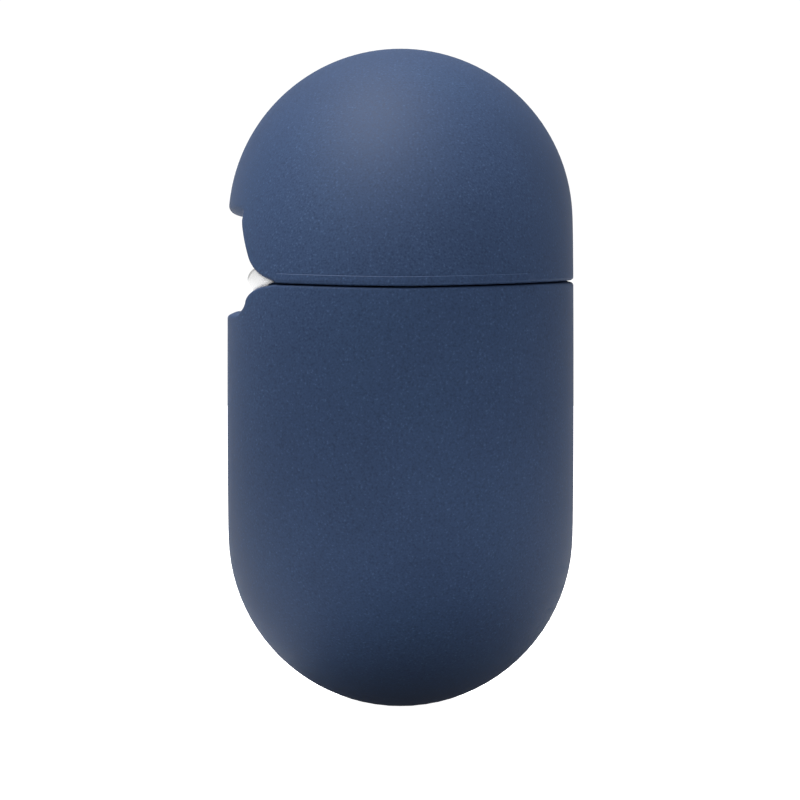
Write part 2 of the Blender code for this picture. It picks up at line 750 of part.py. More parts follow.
def port():
    """Connector shell, closed at its back, with a separate contact tongue inside."""
    depth = PORT_BACK_Z - PORT_MOUTH_Z
    middle = (0, 0, (PORT_MOUTH_Z + PORT_BACK_Z) / 2)
    shell = sheet(
        "port_shell", [stadium(PORT_HALF_WIDTH, PORT_HALF_DEPTH)], "XY", middle, depth, "steel"
    )
    inside = stadium(PORT_HALF_WIDTH - PORT_WALL, PORT_HALF_DEPTH - PORT_WALL)
    hollow_middle = (0, 0, middle[2] - PORT_WALL - PAST)
    cut(shell, sheet("cut_port_hollow", [inside], "XY", hollow_middle, depth + 2 * PAST - PORT_WALL))
    root_half = 3.5 * MM
    root_depth = 0.8 * MM
    root_top = PORT_BACK_Z - PORT_WALL * 3
    root_height = 0.9 * MM
    blade_half = 3.3 * MM
    blade_depth = 0.35 * MM
    blade_start = PORT_MOUTH_Z + 1.0 * MM
    root = block(
        "port_tongue",
        (-root_half, -root_depth, root_top - root_height),
        (root_half, root_depth, root_top),
        "chip",
    )
    blade_low = (-blade_half, -blade_depth, blade_start)
    blade_high = (blade_half, blade_depth, root_top - root_height / 2)
    join(root, block("join_port_blade", blade_low, blade_high))


def status_light():
    """Light pipe through the front wall, the light behind it, and its flat circuit."""
    pipe_front = -CASE_RADIUS + FINE_FIT / 2
    pipe_back = -CASE_INSIDE + 1.4 * MM
    length = pipe_back - pipe_front
    flange_radius = 1.3 * MM
    flange = 0.5 * MM
    profile = [
        (0, length),
        (flange_radius, length),
        (flange_radius, length - flange),
        (LIGHT_RADIUS, length - flange),
        (LIGHT_RADIUS, 0),
        (0, 0),
    ]
    turned("status_light_pipe", profile, (0, pipe_front, LIGHT_Z), "Y", "light")
    half = 0.8 * MM
    front = pipe_back + FINE_FIT
    back = front + 0.7 * MM
    block("status_light", (-half, front, LIGHT_Z - half), (half, back, LIGHT_Z + half), "light")
    flex_y = back + FINE_FIT + FLEX_THICKNESS / 2
    status_flex(flex_y)


def status_flex(front_y):
    """Ribbon that drops behind the light, then runs back over the battery to the board."""
    half_width = 1.5 * MM
    low_z = BATTERY_TOP + FIT + FLEX_THICKNESS / 2
    bend = 0.8 * MM
    back_y = BOARD_Y - FIT
    path = [(front_y, LIGHT_Z + half_width)]
    path += arc((front_y + bend, low_z + bend), (bend, bend), 180, 270, 4)
    path.append((back_y, low_z))
    bm = bmesh.new()
    rows = [
        [bm.verts.new((x, y, z)) for x in (-half_width, half_width)]
        for y, z in path
    ]
    for first, second in zip(rows, rows[1:]):
        bm.faces.new((first[0], first[1], second[1], second[0]))
    mesh = bpy.data.meshes.new("status_light_flex")
    bm.to_mesh(mesh)
    bm.free()
    ribbon = add("status_light_flex", mesh, "flex")
    solid = ribbon.modifiers.new("thickness", "SOLIDIFY")
    solid.thickness = FLEX_THICKNESS
    solid.offset = 0


def coil():
    """Flat stadium-shaped winding on the back wall, with a ferrite shield in front of it."""
    back = CASE_INSIDE - FIT
    coil_y = back - COIL_THICKNESS / 2
    shield_y = back - COIL_THICKNESS - FINE_FIT - SHIELD_THICKNESS / 2
    outer = stadium(COIL_HALF_WIDTH, COIL_HALF_HEIGHT)
    inner = stadium(COIL_HALF_WIDTH - COIL_RING, COIL_HALF_HEIGHT - COIL_RING)
    sheet("charging_coil", [outer, inner], "XZ", (0, coil_y, BUTTON_Z), COIL_THICKNESS, "copper")
    hole_radius = BUTTON_FLANGE + FIT
    hole = arc((0, 0), (hole_radius, hole_radius), 0, 345, 23)
    shield = sheet(
        "ferrite_shield", [outer, hole], "XZ", (0, shield_y, BUTTON_Z), SHIELD_THICKNESS, "ferrite"
    )
    return shield


def hang_lid():
    """Parent everything that lifts with the lid to an empty on the hinge's axis."""
    axis = bpy.data.objects.new("lid_axis", None)
    axis.location = (0, HINGE_Y, SEAM_Z)
    axis.empty_display_size = BARREL_RADIUS
    PARTS.objects.link(axis)
    for name in LID_PIECES:
        piece = bpy.data.objects[name]
        piece.parent = axis
        piece.matrix_parent_inverse = Matrix.Translation(-axis.location)


LID_PIECES = (
    "cover_lid",
    "cover_adhesive_strip",
    "lid_shell",
    "lid_liner",
    "hinge_lid_leaf",
    "lid_hinge_screw_1",
    "lid_hinge_screw_2",
    "lid_closure_magnet_left",
    "lid_closure_magnet_right",
)

cover_lid()
cover_base()
adhesive_strip()
lid_shell()
base_shell()
cradle()
lid_liner()
hinge()
magnets()
contacts()
contact_flexes()
pairing_button()
pairing_switch()
main_board()
battery()
port()
status_light()
coil()
hang_lid()
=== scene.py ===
"""Looks of the earbuds charging case and its cover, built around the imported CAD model.

Every shell is a pill: a flat rounded plate in the XZ plane, grown outwards by a ball. A shell
half is meshed in columns that climb from its rim to the ridge, so that the rim, the hinge
notch and every rounded edge are clean rows of faces.
"""

import json
import math

import bmesh
import bpy
import numpy as np
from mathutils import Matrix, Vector

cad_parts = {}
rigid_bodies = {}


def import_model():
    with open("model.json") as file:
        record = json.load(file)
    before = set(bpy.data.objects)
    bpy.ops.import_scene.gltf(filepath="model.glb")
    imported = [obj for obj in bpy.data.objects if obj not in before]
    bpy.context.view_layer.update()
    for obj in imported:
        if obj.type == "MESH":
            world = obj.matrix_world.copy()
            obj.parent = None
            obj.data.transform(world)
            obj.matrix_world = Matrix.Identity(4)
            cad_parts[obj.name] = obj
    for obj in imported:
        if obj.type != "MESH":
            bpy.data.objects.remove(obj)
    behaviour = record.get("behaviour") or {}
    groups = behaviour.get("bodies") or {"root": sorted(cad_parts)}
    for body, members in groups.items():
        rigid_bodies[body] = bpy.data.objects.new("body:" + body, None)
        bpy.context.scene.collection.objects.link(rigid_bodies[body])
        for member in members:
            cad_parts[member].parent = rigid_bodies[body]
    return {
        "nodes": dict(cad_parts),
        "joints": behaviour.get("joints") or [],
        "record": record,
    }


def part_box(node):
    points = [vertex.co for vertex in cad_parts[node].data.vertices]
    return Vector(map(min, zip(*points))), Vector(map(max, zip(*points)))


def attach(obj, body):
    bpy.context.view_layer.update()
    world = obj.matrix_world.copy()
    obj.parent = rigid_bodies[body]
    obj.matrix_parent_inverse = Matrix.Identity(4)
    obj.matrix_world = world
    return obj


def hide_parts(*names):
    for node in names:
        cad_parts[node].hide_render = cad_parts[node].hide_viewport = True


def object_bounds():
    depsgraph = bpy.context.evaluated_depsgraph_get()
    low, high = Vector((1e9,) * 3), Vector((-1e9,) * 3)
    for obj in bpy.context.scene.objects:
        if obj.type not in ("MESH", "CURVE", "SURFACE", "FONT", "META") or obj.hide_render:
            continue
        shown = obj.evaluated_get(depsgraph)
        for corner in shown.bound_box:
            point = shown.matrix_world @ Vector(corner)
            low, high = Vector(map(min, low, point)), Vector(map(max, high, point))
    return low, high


for leftover in list(bpy.data.objects):
    bpy.data.objects.remove(leftover)
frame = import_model()
cad_box = [list(corner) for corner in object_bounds()]

MM = 0.001

# ---- Sizes from the frame ----

_, cover_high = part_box("cover_base")
_, case_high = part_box("base_shell")
lid_hinge = next(joint for joint in frame["joints"] if joint["name"] == "lid_hinge")
HINGE_Y, SEAM_Z = lid_hinge["pos_m"][1:]
COVER_RADIUS = cover_high.y
CASE_RADIUS = case_high.y
TOP_Z = cad_box[1][2]
CENTRE_Z = TOP_Z / 2
PLATE_HALF_WIDTH = cover_high.x - COVER_RADIUS
PLATE_HALF_HEIGHT = CENTRE_Z - COVER_RADIUS
PLATE_CORNER = 10.15 * MM
CORNER_X = PLATE_HALF_WIDTH - PLATE_CORNER
CORNER_RISE = PLATE_HALF_HEIGHT - PLATE_CORNER
WALL = 1.3 * MM
COVER_INSIDE = COVER_RADIUS - WALL
CASE_INSIDE = CASE_RADIUS - WALL
COVER_GAP = 0.10 * MM  # the soft cover's edges all but meet


# ---- Points on a pill ----


def plate_distance(x, z):
    """Distance from the plate in its own plane, 0 inside it."""
    across = np.maximum(np.abs(x) - CORNER_X, 0)
    up = np.maximum(np.abs(z - CENTRE_Z) - CORNER_RISE, 0)
    corner = np.hypot(across, up) - PLATE_CORNER
    return np.maximum(corner, 0)


def depth_at(x, z, radius):
    """How far a pill's surface stands off the plate's plane."""
    return np.sqrt(np.maximum(radius**2 - plate_distance(x, z) ** 2, 0))


def nearest_plate_point(points):
    x, z = points[..., 0], points[..., 2] - CENTRE_Z
    across = np.maximum(np.abs(x) - CORNER_X, 0)
    up = np.maximum(np.abs(z) - CORNER_RISE, 0)
    length = np.hypot(across, up)
    shrink = np.minimum(1, PLATE_CORNER / np.maximum(length, 1e-12))
    near_x = np.sign(x) * (np.minimum(np.abs(x), CORNER_X) + across * shrink)
    near_z = np.sign(z) * (np.minimum(np.abs(z), CORNER_RISE) + up * shrink) + CENTRE_Z
    return np.stack([near_x, np.zeros_like(near_x), near_z], -1)


def outward(points):
    """The pill's unit normal at points on or near it."""
    away = points - nearest_plate_point(points)
    return away / np.maximum(np.linalg.norm(away, axis=-1, keepdims=True), 1e-12)


def onto_pill(points, radius):
    return nearest_plate_point(points) + radius * outward(points)


SECTION_STEPS = 120


def section_table(z, radius):
    """One quarter of the pill's level section at each z: x, y and length from x = 0."""
    z = np.asarray(z, float)[..., None]
    height = np.abs(z - CENTRE_Z)
    rise = np.maximum(height - CORNER_RISE, 0)
    least = np.clip(height - PLATE_HALF_HEIGHT, 0, radius)
    start = np.arccos(least / radius)
    turn = start * (1 - np.linspace(0, 1, SECTION_STEPS) ** 1.5)
    reach = radius * np.cos(turn)
    x = CORNER_X + np.sqrt(np.maximum((PLATE_CORNER + reach) ** 2 - rise**2, 0))
    y = radius * np.sin(turn)
    x = np.concatenate([np.zeros_like(x[..., :1]), x], -1)
    y = np.concatenate([y[..., :1], y], -1)
    steps = np.hypot(np.diff(x, axis=-1), np.diff(y, axis=-1))
    length = np.concatenate([np.zeros_like(x[..., :1]), np.cumsum(steps, -1)], -1)
    return x, y, length


def section_points(share, z, radius):
    """Points at a share of the half section: 0 at the back, 1 at the side, 2 at the front."""
    share, z = np.broadcast_arrays(share, z)
    x, y, length = section_table(z, radius)
    quarter = np.where(share > 1, 2 - share, share)
    target = (quarter * length[..., -1])[..., None]
    after = np.clip((length < target).sum(-1), 1, x.shape[-1] - 1)[..., None]
    low, high = np.take_along_axis(length, after - 1, -1), np.take_along_axis(length, after, -1)
    part = (target - low) / np.maximum(high - low, 1e-12)
    found = []
    for values in (x, y):
        first = np.take_along_axis(values, after - 1, -1)
        second = np.take_along_axis(values, after, -1)
        found.append((first + (second - first) * part)[..., 0])
    flip = np.where(share > 1, -1, 1)
    return np.stack([found[0], found[1] * flip, z], -1)


def share_at(points, radius):
    """The inverse of section_points, for points on the pill with x >= 0."""
    shares = []
    for x, y, z in points:
        table_x, _, length = section_table(z, radius)
        quarter = np.interp(x, table_x, length) / length[-1]
        shares.append(quarter if y >= 0 else 2 - quarter)
    return np.array(shares)


# ---- Half shells ----

OUTLINE_STEPS = 900  # fine steps of a rim before it is cut into columns
SIDE_STEPS = 400
FRONT_STEPS = 600
BEND_WINDOW = 41  # how many fine steps a bend's extra columns are spread over
BEND_WEIGHT = 3
COLUMNS = 96  # from the back centre round to the side, and again on to the front centre
OUTER_ROWS = 40
INNER_ROWS = 16
INNER_EDGE = 0.12 * MM
SAG_FREE = 18 * MM  # nearer the middle than this the seam's dip fades, to none half as far out
SAG_REACH = 2 * MM  # how high over the rim the dip is still felt
ACROSS_START = 21 * MM  # where a notch's cut begins to turn towards the side
PAST_HINGE = 24.35 * MM  # a turned cut keeps outside this, clear of the hinge's ends
LIP_START = 0.86  # where a notch's own lip begins, and is full, as shares of its height
LIP_FULL = 0.97
BAND_HEIGHT = 0.62 * MM
BAND_DIP = 0.12 * MM  # the band runs only where the rim dips by more than this
EDGE_ANGLES = np.radians(np.linspace(0, 90, 9))  # where rows lie round a rounded edge


def arc_points(centre, radii, start, end, steps):
    angles = np.radians(np.linspace(start, end, steps + 1))
    across = centre[0] + radii[0] * np.cos(angles)
    up = centre[1] + radii[1] * np.sin(angles)
    return np.stack([across, up], 1)


def resample(points, count, sharpness=None):
    """The line of points cut into even steps by the length of its first three values.

    sharpness gives each step of the line a weight: where it is high, the steps are finer.
    """
    gaps = np.linalg.norm(np.diff(points[:, :3], axis=0), axis=1)
    if sharpness is not None:
        gaps = gaps * sharpness
    along = np.concatenate([[0], np.cumsum(gaps)])
    wanted = np.linspace(0, along[-1], count + 1)
    return np.stack([np.interp(wanted, along, column) for column in points.T], 1)


def sagged(points, radius, rim_z, sag):
    """Points near a rim moved along the pill, so that the rim dips towards the sides."""
    x, y, z = points.T
    dip = sag * np.maximum(1 - (np.abs(y) / radius) ** 1.5, 0)
    beside = np.clip((x - 0.5 * SAG_FREE) / (0.5 * SAG_FREE), 0, 1)
    near = np.clip(1 - (z - rim_z) / SAG_REACH, 0, 1)
    moved = points.copy()
    moved[:, 2] -= dip * beside * near
    return onto_pill(moved, radius)


def side_on(y, z, radius):
    """Where a pill's surface, at a height, is as far back as y."""
    off_plate = np.sqrt(np.maximum(radius**2 - y**2, 0))
    up = np.maximum(np.abs(z - CENTRE_Z) - CORNER_RISE, 0)
    return CORNER_X + np.sqrt(np.maximum((PLATE_CORNER + off_plate) ** 2 - up**2, 0))


def rim_lines(outline, rim_z, radius, inner_radius, sag=0.0):
    """Half a rim on the outer and the inner pill, from the back centre to the front centre.

    outline is the notch seen from behind, from the middle of its top to its end on the rim.
    Where the rim dips, the notch is cut straight in at its middle and turns, towards its
    ends, until it is cut sideways, but never so far in that it reaches the hinge.
    """
    fill = resample(np.c_[outline, np.zeros(len(outline))], OUTLINE_STEPS)[:, :2]
    x, z = fill[:, 0], fill[:, 1]
    back_outer = np.stack([x, depth_at(x, z, radius), z], 1)
    inner_x = x
    if sag:
        across = side_on(np.minimum(back_outer[:, 1], inner_radius), z, inner_radius)
        turn = np.clip((x - ACROSS_START) / (x[-1] - ACROSS_START), 0, 1)
        inner_x = x + (across - x) * turn * turn * (3 - 2 * turn)
        inner_x = np.maximum(inner_x, np.minimum(x, PAST_HINGE))
    back_inner = np.stack([inner_x, depth_at(inner_x, z, inner_radius), z], 1)
    begin_outer, begin_inner = (
        share_at(line[-1:], size)[0]
        for line, size in ((back_outer, radius), (back_inner, inner_radius))
    )
    side_outer = section_points(np.linspace(begin_outer, 1, SIDE_STEPS)[1:], rim_z, radius)
    side_inner = section_points(np.linspace(begin_inner, 1, SIDE_STEPS)[1:], rim_z, inner_radius)
    front = np.linspace(1, 2, FRONT_STEPS)
    front_outer = section_points(front, rim_z, radius)
    front_inner = section_points(front, rim_z, inner_radius)
    back_outer, side_outer, front_outer = (
        sagged(line, radius, rim_z, sag) for line in (back_outer, side_outer, front_outer)
    )
    back_inner, side_inner, front_inner = (
        sagged(line, inner_radius, rim_z, sag) for line in (back_inner, side_inner, front_inner)
    )
    front_pair = np.c_[front_outer, front_inner]
    back_pair = np.c_[
        np.concatenate([back_outer, side_outer]), np.concatenate([back_inner, side_inner])
    ]
    direction = np.diff(back_pair[:, :3], axis=0)
    direction /= np.maximum(np.linalg.norm(direction, axis=1, keepdims=True), 1e-12)
    bend = np.zeros(len(direction))
    bend[1:] = np.linalg.norm(np.diff(direction, axis=0), axis=1)
    spread = np.convolve(bend, np.ones(BEND_WINDOW) / BEND_WINDOW, mode="same")
    weight = 1 + BEND_WEIGHT * spread / spread.max()
    back = resample(back_pair, COLUMNS, weight)
    line = np.concatenate([back, resample(front_pair, COLUMNS)[1:]])
    return line[:, :3], line[:, 3:]


def across_rim(rim, radius):
    """At each point of half a rim, the direction along the pill, away from the rim."""
    mirror = rim * [-1, 1, 1]
    padded = np.concatenate([mirror[1:2], rim, mirror[-2:-1]])
    tangent = padded[2:] - padded[:-2]
    away = np.cross(tangent, outward(rim))
    return away / np.linalg.norm(away, axis=1, keepdims=True)


def climb(start, radius, count):
    """Rows from a line of points on the pill up to the top ridge, the first row left out."""
    plate_top = CENTRE_Z + PLATE_HALF_HEIGHT
    share = share_at(start, radius)
    even = np.linspace(0, 2, len(start))
    low = start[:, 2]
    angle = np.arcsin(np.clip((low - plate_top) / radius, -1, 1))
    first = np.where(low < plate_top, low - plate_top, radius * angle)
    last = radius * math.pi / 2
    rows = []
    for part in np.linspace(0, 1, count + 1)[1:]:
        up = first + (last - first) * part
        curved = plate_top + radius * np.sin(np.maximum(up, 0) / radius)
        z = np.where(up < 0, plate_top + up, curved)
        ease = part * part * (3 - 2 * part)
        rows.append(section_points(share + (even - share) * ease, z, radius))
    return rows


def half_shell(
    outline, rim_z, radius, inner_radius, edge, insets, lip=None, band=0.0, sag=0.0, meet=0.0
):
    """Rows of points from the outer ridge, round the rim, to the inner ridge.

    edge is the rounded edge's size along the surface and into the wall, and lip is its size
    at the top of the notch. insets are the distances from the rim of the plain rows,
    farthest first. A band of surface at the rim stands proud by band. The rim dips by sag
    at the sides, and its inner edge reaches farther by meet.
    """
    rim, inner_rim = rim_lines(outline, rim_z, radius, inner_radius, sag)
    away = across_rim(rim, radius)
    inner_away = across_rim(inner_rim, inner_radius)
    on_band = np.where(rim[:, 2] < rim_z - BAND_DIP, band, 0)[:, None]
    rise = (rim[:, 2] - rim_z) / (outline[0][1] - rim_z)
    grown = np.clip((rise - LIP_START) / (LIP_FULL - LIP_START), 0, 1)[:, None]
    grown = grown * grown * (3 - 2 * grown)
    along, into = (
        small + (large - small) * grown for small, large in zip(edge, lip or edge)
    )

    def inset_row(distance, sunk, in_band=False):
        points = onto_pill(rim + away * distance, radius)
        return points + outward(points) * ((on_band if in_band else 0) - sunk)

    farther = along - edge[0]
    start = onto_pill(rim + away * (insets[0] + farther), radius)
    rows = climb(start, radius, OUTER_ROWS)[::-1]
    rows += [inset_row(inset + farther, 0, inset < BAND_HEIGHT) for inset in insets]
    for angle in EDGE_ANGLES:
        sunk = into * (1 - math.cos(angle))
        rows.append(inset_row(along * (1 - math.sin(angle)), sunk, True))
    inner_rim = inner_rim - inner_away * meet
    toward = rows[-1] - inner_rim
    toward /= np.linalg.norm(toward, axis=1, keepdims=True)
    rows.append(inner_rim + toward * INNER_EDGE)
    inner_start = onto_pill(inner_rim + inner_away * INNER_EDGE, inner_radius)
    rows.append(inner_start)
    rows += climb(inner_start, inner_radius, INNER_ROWS)
    return np.array(rows)


def mirrored_rows(rows):
    """Whole rings from rows that cover the half with x >= 0."""
    return np.concatenate([rows, (rows * [-1, 1, 1])[:, -2:0:-1]], 1)


WELD = 2e-7
NO_LENGTH = 1e-8


def ring_mesh(name, rings, cap_first=False, cap_last=False):
    """Faces between rings of equal length, welded where points meet."""
    rings = np.asarray(rings)
    count, around = rings.shape[:2]
    bm = bmesh.new()
    verts = [bm.verts.new(point) for point in rings.reshape(-1, 3)]
    for row in range(count - 1):
        for column in range(around):
            after = (column + 1) % around
            corners = (
                verts[row * around + column],
                verts[row * around + after],
                verts[(row + 1) * around + after],
                verts[(row + 1) * around + column],
            )
            bm.faces.new(corners)
    if cap_first:
        bm.faces.new(verts[:around])
    if cap_last:
        bm.faces.new(verts[-around:])
    bmesh.ops.remove_doubles(bm, verts=bm.verts, dist=WELD)
    bmesh.ops.dissolve_degenerate(bm, edges=bm.edges, dist=NO_LENGTH)
    bmesh.ops.recalc_face_normals(bm, faces=bm.faces)
    mesh = bpy.data.meshes.new(name)
    bm.to_mesh(mesh)
    bm.free()
    return mesh


def smooth(mesh, angle=40):
    mesh.shade_smooth()
    mesh.set_sharp_from_angle(angle=math.radians(angle))


def upside_down(rows):
    flipped = rows.copy()
    flipped[..., 2] = TOP_Z - flipped[..., 2]
    return flipped


# ---- Notch outlines, as (x, height) seen from behind ----

FLARE_CUT = 0.2 * MM  # a flare's own points stop this far before its end on the seam
FLARE_REACH = 27.05 * MM  # where the covers' flares end on the seam
NOTCH_HALF_WIDTH = 24.2 * MM
LID_NOTCH_RISE = 4.7 * MM
LID_CORNER = 0.9 * MM
LID_CORNER_X = 19.4 * MM
LID_CORNER_TURN = (90, 50)  # degrees
LID_FLARE = (7.15 * MM, 5.9 * MM)  # every flare's radii are across and up
LID_FLARE_X = 28.3 * MM
LID_FLARE_TURN = (228, 258)  # degrees
BASE_NOTCH_DROP = 2.28 * MM
BASE_CORNER = (1.7 * MM, 0.84 * MM)
BASE_FLARE = (3.8 * MM, 1.4 * MM)
# The case's slot: half width, corner and flare
CASE_SLOT = (NOTCH_HALF_WIDTH, (0.6 * MM, 0.6 * MM), (0.4 * MM, 0.4 * MM))
CASE_SLOT_REACH = 1.4 * MM  # how far from the seam the case's slot goes, up and down


def cover_lid_outline(rim_z):
    """The lid cover's notch: a tight top corner, a straight slanting side, a wide flare."""
    top = rim_z + LID_NOTCH_RISE
    corner_centre = (LID_CORNER_X, top - LID_CORNER)
    corner = arc_points(corner_centre, (LID_CORNER, LID_CORNER), *LID_CORNER_TURN, 6)
    flare = arc_points((LID_FLARE_X, rim_z + LID_FLARE[1]), LID_FLARE, *LID_FLARE_TURN, 24)
    return np.concatenate([[[0, top]], corner, flare, [[FLARE_REACH, rim_z]]])


def slot_outline(rim_z, top_z, half_width, corner, flare, reach=None):
    """A slot with round top corners and round ends, cut off at reach where it meets the rim."""
    corner_centre = (half_width - corner[0], top_z - corner[1])
    bend = arc_points(corner_centre, corner, 90, 0, 16)
    end = arc_points((half_width + flare[0], rim_z + flare[1]), flare, 180, 270, 32)
    if reach:
        end = np.concatenate([end[end[:, 0] < reach - FLARE_CUT], [[reach, rim_z]]])
    return np.concatenate([[[0, top_z]], bend, end])


# ---- Materials ----


def new_material(name, colour, roughness, metallic=0.0, **sockets):
    """A Principled material, its shader and its node helper."""
    material = bpy.data.materials.new(name)
    material.use_nodes = True
    nodes, links = material.node_tree.nodes, material.node_tree.links
    shader = nodes["Principled BSDF"]
    shader.inputs["Base Color"].default_value = (*colour, 1)
    shader.inputs["Roughness"].default_value = roughness
    shader.inputs["Metallic"].default_value = metallic
    for socket, value in sockets.items():
        shader.inputs[socket.replace("_", " ")].default_value = value
    return material, shader, nodes, links


def noise(nodes, links, grain, detail=2.0, stretch=(1, 1, 1)):
    """Noise on the object's own coordinates, grain metres across."""
    place = nodes.new("ShaderNodeTexCoord")
    mapping = nodes.new("ShaderNodeMapping")
    mapping.inputs["Scale"].default_value = [value / grain for value in stretch]
    texture = nodes.new("ShaderNodeTexNoise")
    texture.inputs["Scale"].default_value = 1.0
    texture.inputs["Detail"].default_value = detail
    links.new(place.outputs["Object"], mapping.inputs["Vector"])
    links.new(mapping.outputs["Vector"], texture.inputs["Vector"])
    return texture.outputs["Fac"]


def ramp(nodes, links, factor, stops):
    """A colour ramp from (position, colour) stops."""
    node = nodes.new("ShaderNodeValToRGB")
    elements = node.color_ramp.elements
    while len(elements) < len(stops):
        elements.new(0.5)
    for element, (position, colour) in zip(elements, stops):
        element.position = position
        element.color = (*colour, 1)
    links.new(factor, node.inputs["Fac"])
    return node.outputs["Color"]


def vary(nodes, links, factor, low, high, socket):
    node = nodes.new("ShaderNodeMapRange")
    node.inputs["To Min"].default_value = low
    node.inputs["To Max"].default_value = high
    links.new(factor, node.inputs["Value"])
    links.new(node.outputs["Result"], socket)


def bump(nodes, links, factor, shader, distance, strength=1.0):
    node = nodes.new("ShaderNodeBump")
    node.inputs["Distance"].default_value = distance
    node.inputs["Strength"].default_value = strength
    links.new(factor, node.inputs["Height"])
    links.new(node.outputs["Normal"], shader.inputs["Normal"])


def tinted(colour, factor):
    return tuple(channel * factor for channel in colour)


def cover_material():
    """Soft-touch navy silicone, with fine pale flecks and a grainy skin."""
    navy = (0.0235, 0.0430, 0.094)
    material, shader, nodes, links = new_material(
        "soft_touch_navy", navy, 0.62, Specular_IOR_Level=0.09,
    )
    cloud = noise(nodes, links, 9 * MM, 3)
    fleck = noise(nodes, links, 0.16 * MM, 2)
    base = ramp(
        nodes, links, cloud,
        [(0.30, tinted(navy, 0.93)), (0.50, navy), (0.70, (0.0241, 0.0450, 0.097))],
    )
    dots = ramp(
        nodes, links, fleck,
        [
            (0.30, (0.72, 0.72, 0.73)), (0.50, (1, 1, 1)),
            (0.62, (1.03, 1.03, 1.02)), (0.72, (1.7, 1.62, 1.5)),
        ],
    )
    mix = nodes.new("ShaderNodeMix")
    mix.data_type = "RGBA"
    mix.blend_type = "MULTIPLY"
    mix.inputs["Factor"].default_value = 1.0
    links.new(base, mix.inputs["A"])
    links.new(dots, mix.inputs["B"])
    links.new(mix.outputs["Result"], shader.inputs["Base Color"])
    vary(nodes, links, fleck, 0.52, 0.74, shader.inputs["Roughness"])
    bump(nodes, links, fleck, shader, 0.012 * MM, 0.6)
    return material


def plastic(name, colour, roughness, grain, bump_distance, **sockets):
    """Moulded plastic with faint tone and gloss variation."""
    material, shader, nodes, links = new_material(name, colour, roughness, **sockets)
    cloud = noise(nodes, links, 6 * MM, 3)
    fine = noise(nodes, links, grain, 3)
    tone = ramp(nodes, links, cloud, [(0.3, tinted(colour, 0.965)), (0.7, colour)])
    links.new(tone, shader.inputs["Base Color"])
    vary(nodes, links, fine, roughness * 0.8, roughness * 1.25, shader.inputs["Roughness"])
    bump(nodes, links, fine, shader, bump_distance)
    return material


def metal(name, colour, roughness, stretch=(0.06, 1, 1), grain=0.05 * MM):
    """Metal brushed along its long direction."""
    material, shader, nodes, links = new_material(name, colour, roughness, 1.0)
    fine = noise(nodes, links, grain, 3, stretch)
    tone = ramp(nodes, links, fine, [(0.25, tinted(colour, 0.93)), (0.75, colour)])
    links.new(tone, shader.inputs["Base Color"])
    vary(nodes, links, fine, roughness * 0.7, roughness * 1.4, shader.inputs["Roughness"])
    bump(nodes, links, fine, shader, 0.002 * MM)
    return material


MATERIALS = {
    "cover": cover_material(),
    "case": plastic("gloss_white", (0.84, 0.84, 0.835), 0.12, 0.4 * MM, 0.0006 * MM,
                    Coat_Weight=0.3, Coat_Roughness=0.06),
    "lining": plastic("satin_white", (0.60, 0.60, 0.595), 0.34, 0.12 * MM, 0.002 * MM),
    "steel": metal("satin_steel", (0.93, 0.93, 0.93), 0.22),
    "magnet": metal("nickel", (0.60, 0.60, 0.60), 0.25, (1, 1, 1), 0.3 * MM),
    "battery": metal("pouch_foil", (0.70, 0.71, 0.73), 0.42, (1, 0.3, 1), 0.6 * MM),
    "board": plastic("solder_mask", (0.020, 0.105, 0.050), 0.40, 0.1 * MM, 0.004 * MM),
    "chip": plastic("black_moulding", (0.022, 0.022, 0.024), 0.50, 0.08 * MM, 0.004 * MM),
    "copper": metal("enamelled_copper", (0.78, 0.36, 0.17), 0.30, (1, 1, 1), 0.12 * MM),
    "ferrite": plastic("ferrite_sheet", (0.050, 0.050, 0.055), 0.62, 0.1 * MM, 0.004 * MM),
    "flex": plastic("amber_film", (0.56, 0.27, 0.05), 0.30, 0.2 * MM, 0.001 * MM),
    "gold": metal("gold_plate", (0.94, 0.70, 0.30), 0.20, (1, 1, 0.1), 0.05 * MM),
    "light": plastic("light_pipe", (0.82, 0.86, 0.82), 0.14, 0.3 * MM, 0.0005 * MM,
                     Transmission_Weight=0.35),
    "adhesive": plastic("adhesive_film", (0.74, 0.74, 0.68), 0.60, 0.2 * MM, 0.004 * MM),
}
slot_of = {row["node"]: row["material_slot"] for row in frame["record"]["subparts"]}
for node_name, node in frame["nodes"].items():
    node.data.materials.clear()
    node.data.materials.append(MATERIALS[slot_of[node_name]])


# ---- Pieces ----


def piece(mesh, slot, body, *replaced, angle=40):
    """A shown piece that rides on a body and stands for CAD nodes."""
    smooth(mesh, angle)
    mesh.materials.clear()
    mesh.materials.append(MATERIALS[slot])
    obj = bpy.data.objects.new(mesh.name, mesh)
    bpy.context.scene.collection.objects.link(obj)
    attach(obj, body)
    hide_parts(*replaced)
    return obj


def cut_mesh(mesh, cutters, operation="DIFFERENCE"):
    """The mesh with each cutter taken out of it, by exact Booleans."""
    obj = bpy.data.objects.new("being_cut", mesh)
    bpy.context.scene.collection.objects.link(obj)
    tools = []
    for cutter in cutters:
        tool = bpy.data.objects.new("cutter", cutter)
        bpy.context.scene.collection.objects.link(tool)
        modifier = obj.modifiers.new("cut", "BOOLEAN")
        modifier.operation = operation
        modifier.solver = "EXACT"
        modifier.object = tool
        tools.append(tool)
    bpy.context.view_layer.update()
    graph = bpy.context.evaluated_depsgraph_get()
    result = bpy.data.meshes.new_from_object(obj.evaluated_get(graph))
    result.name = mesh.name
    for used in (obj, *tools):
        bpy.data.objects.remove(used)
    return result


def loft(name, rings):
    """A closed solid through rings of equal length, with flat ends."""
    return ring_mesh(name, rings, cap_first=True, cap_last=True)


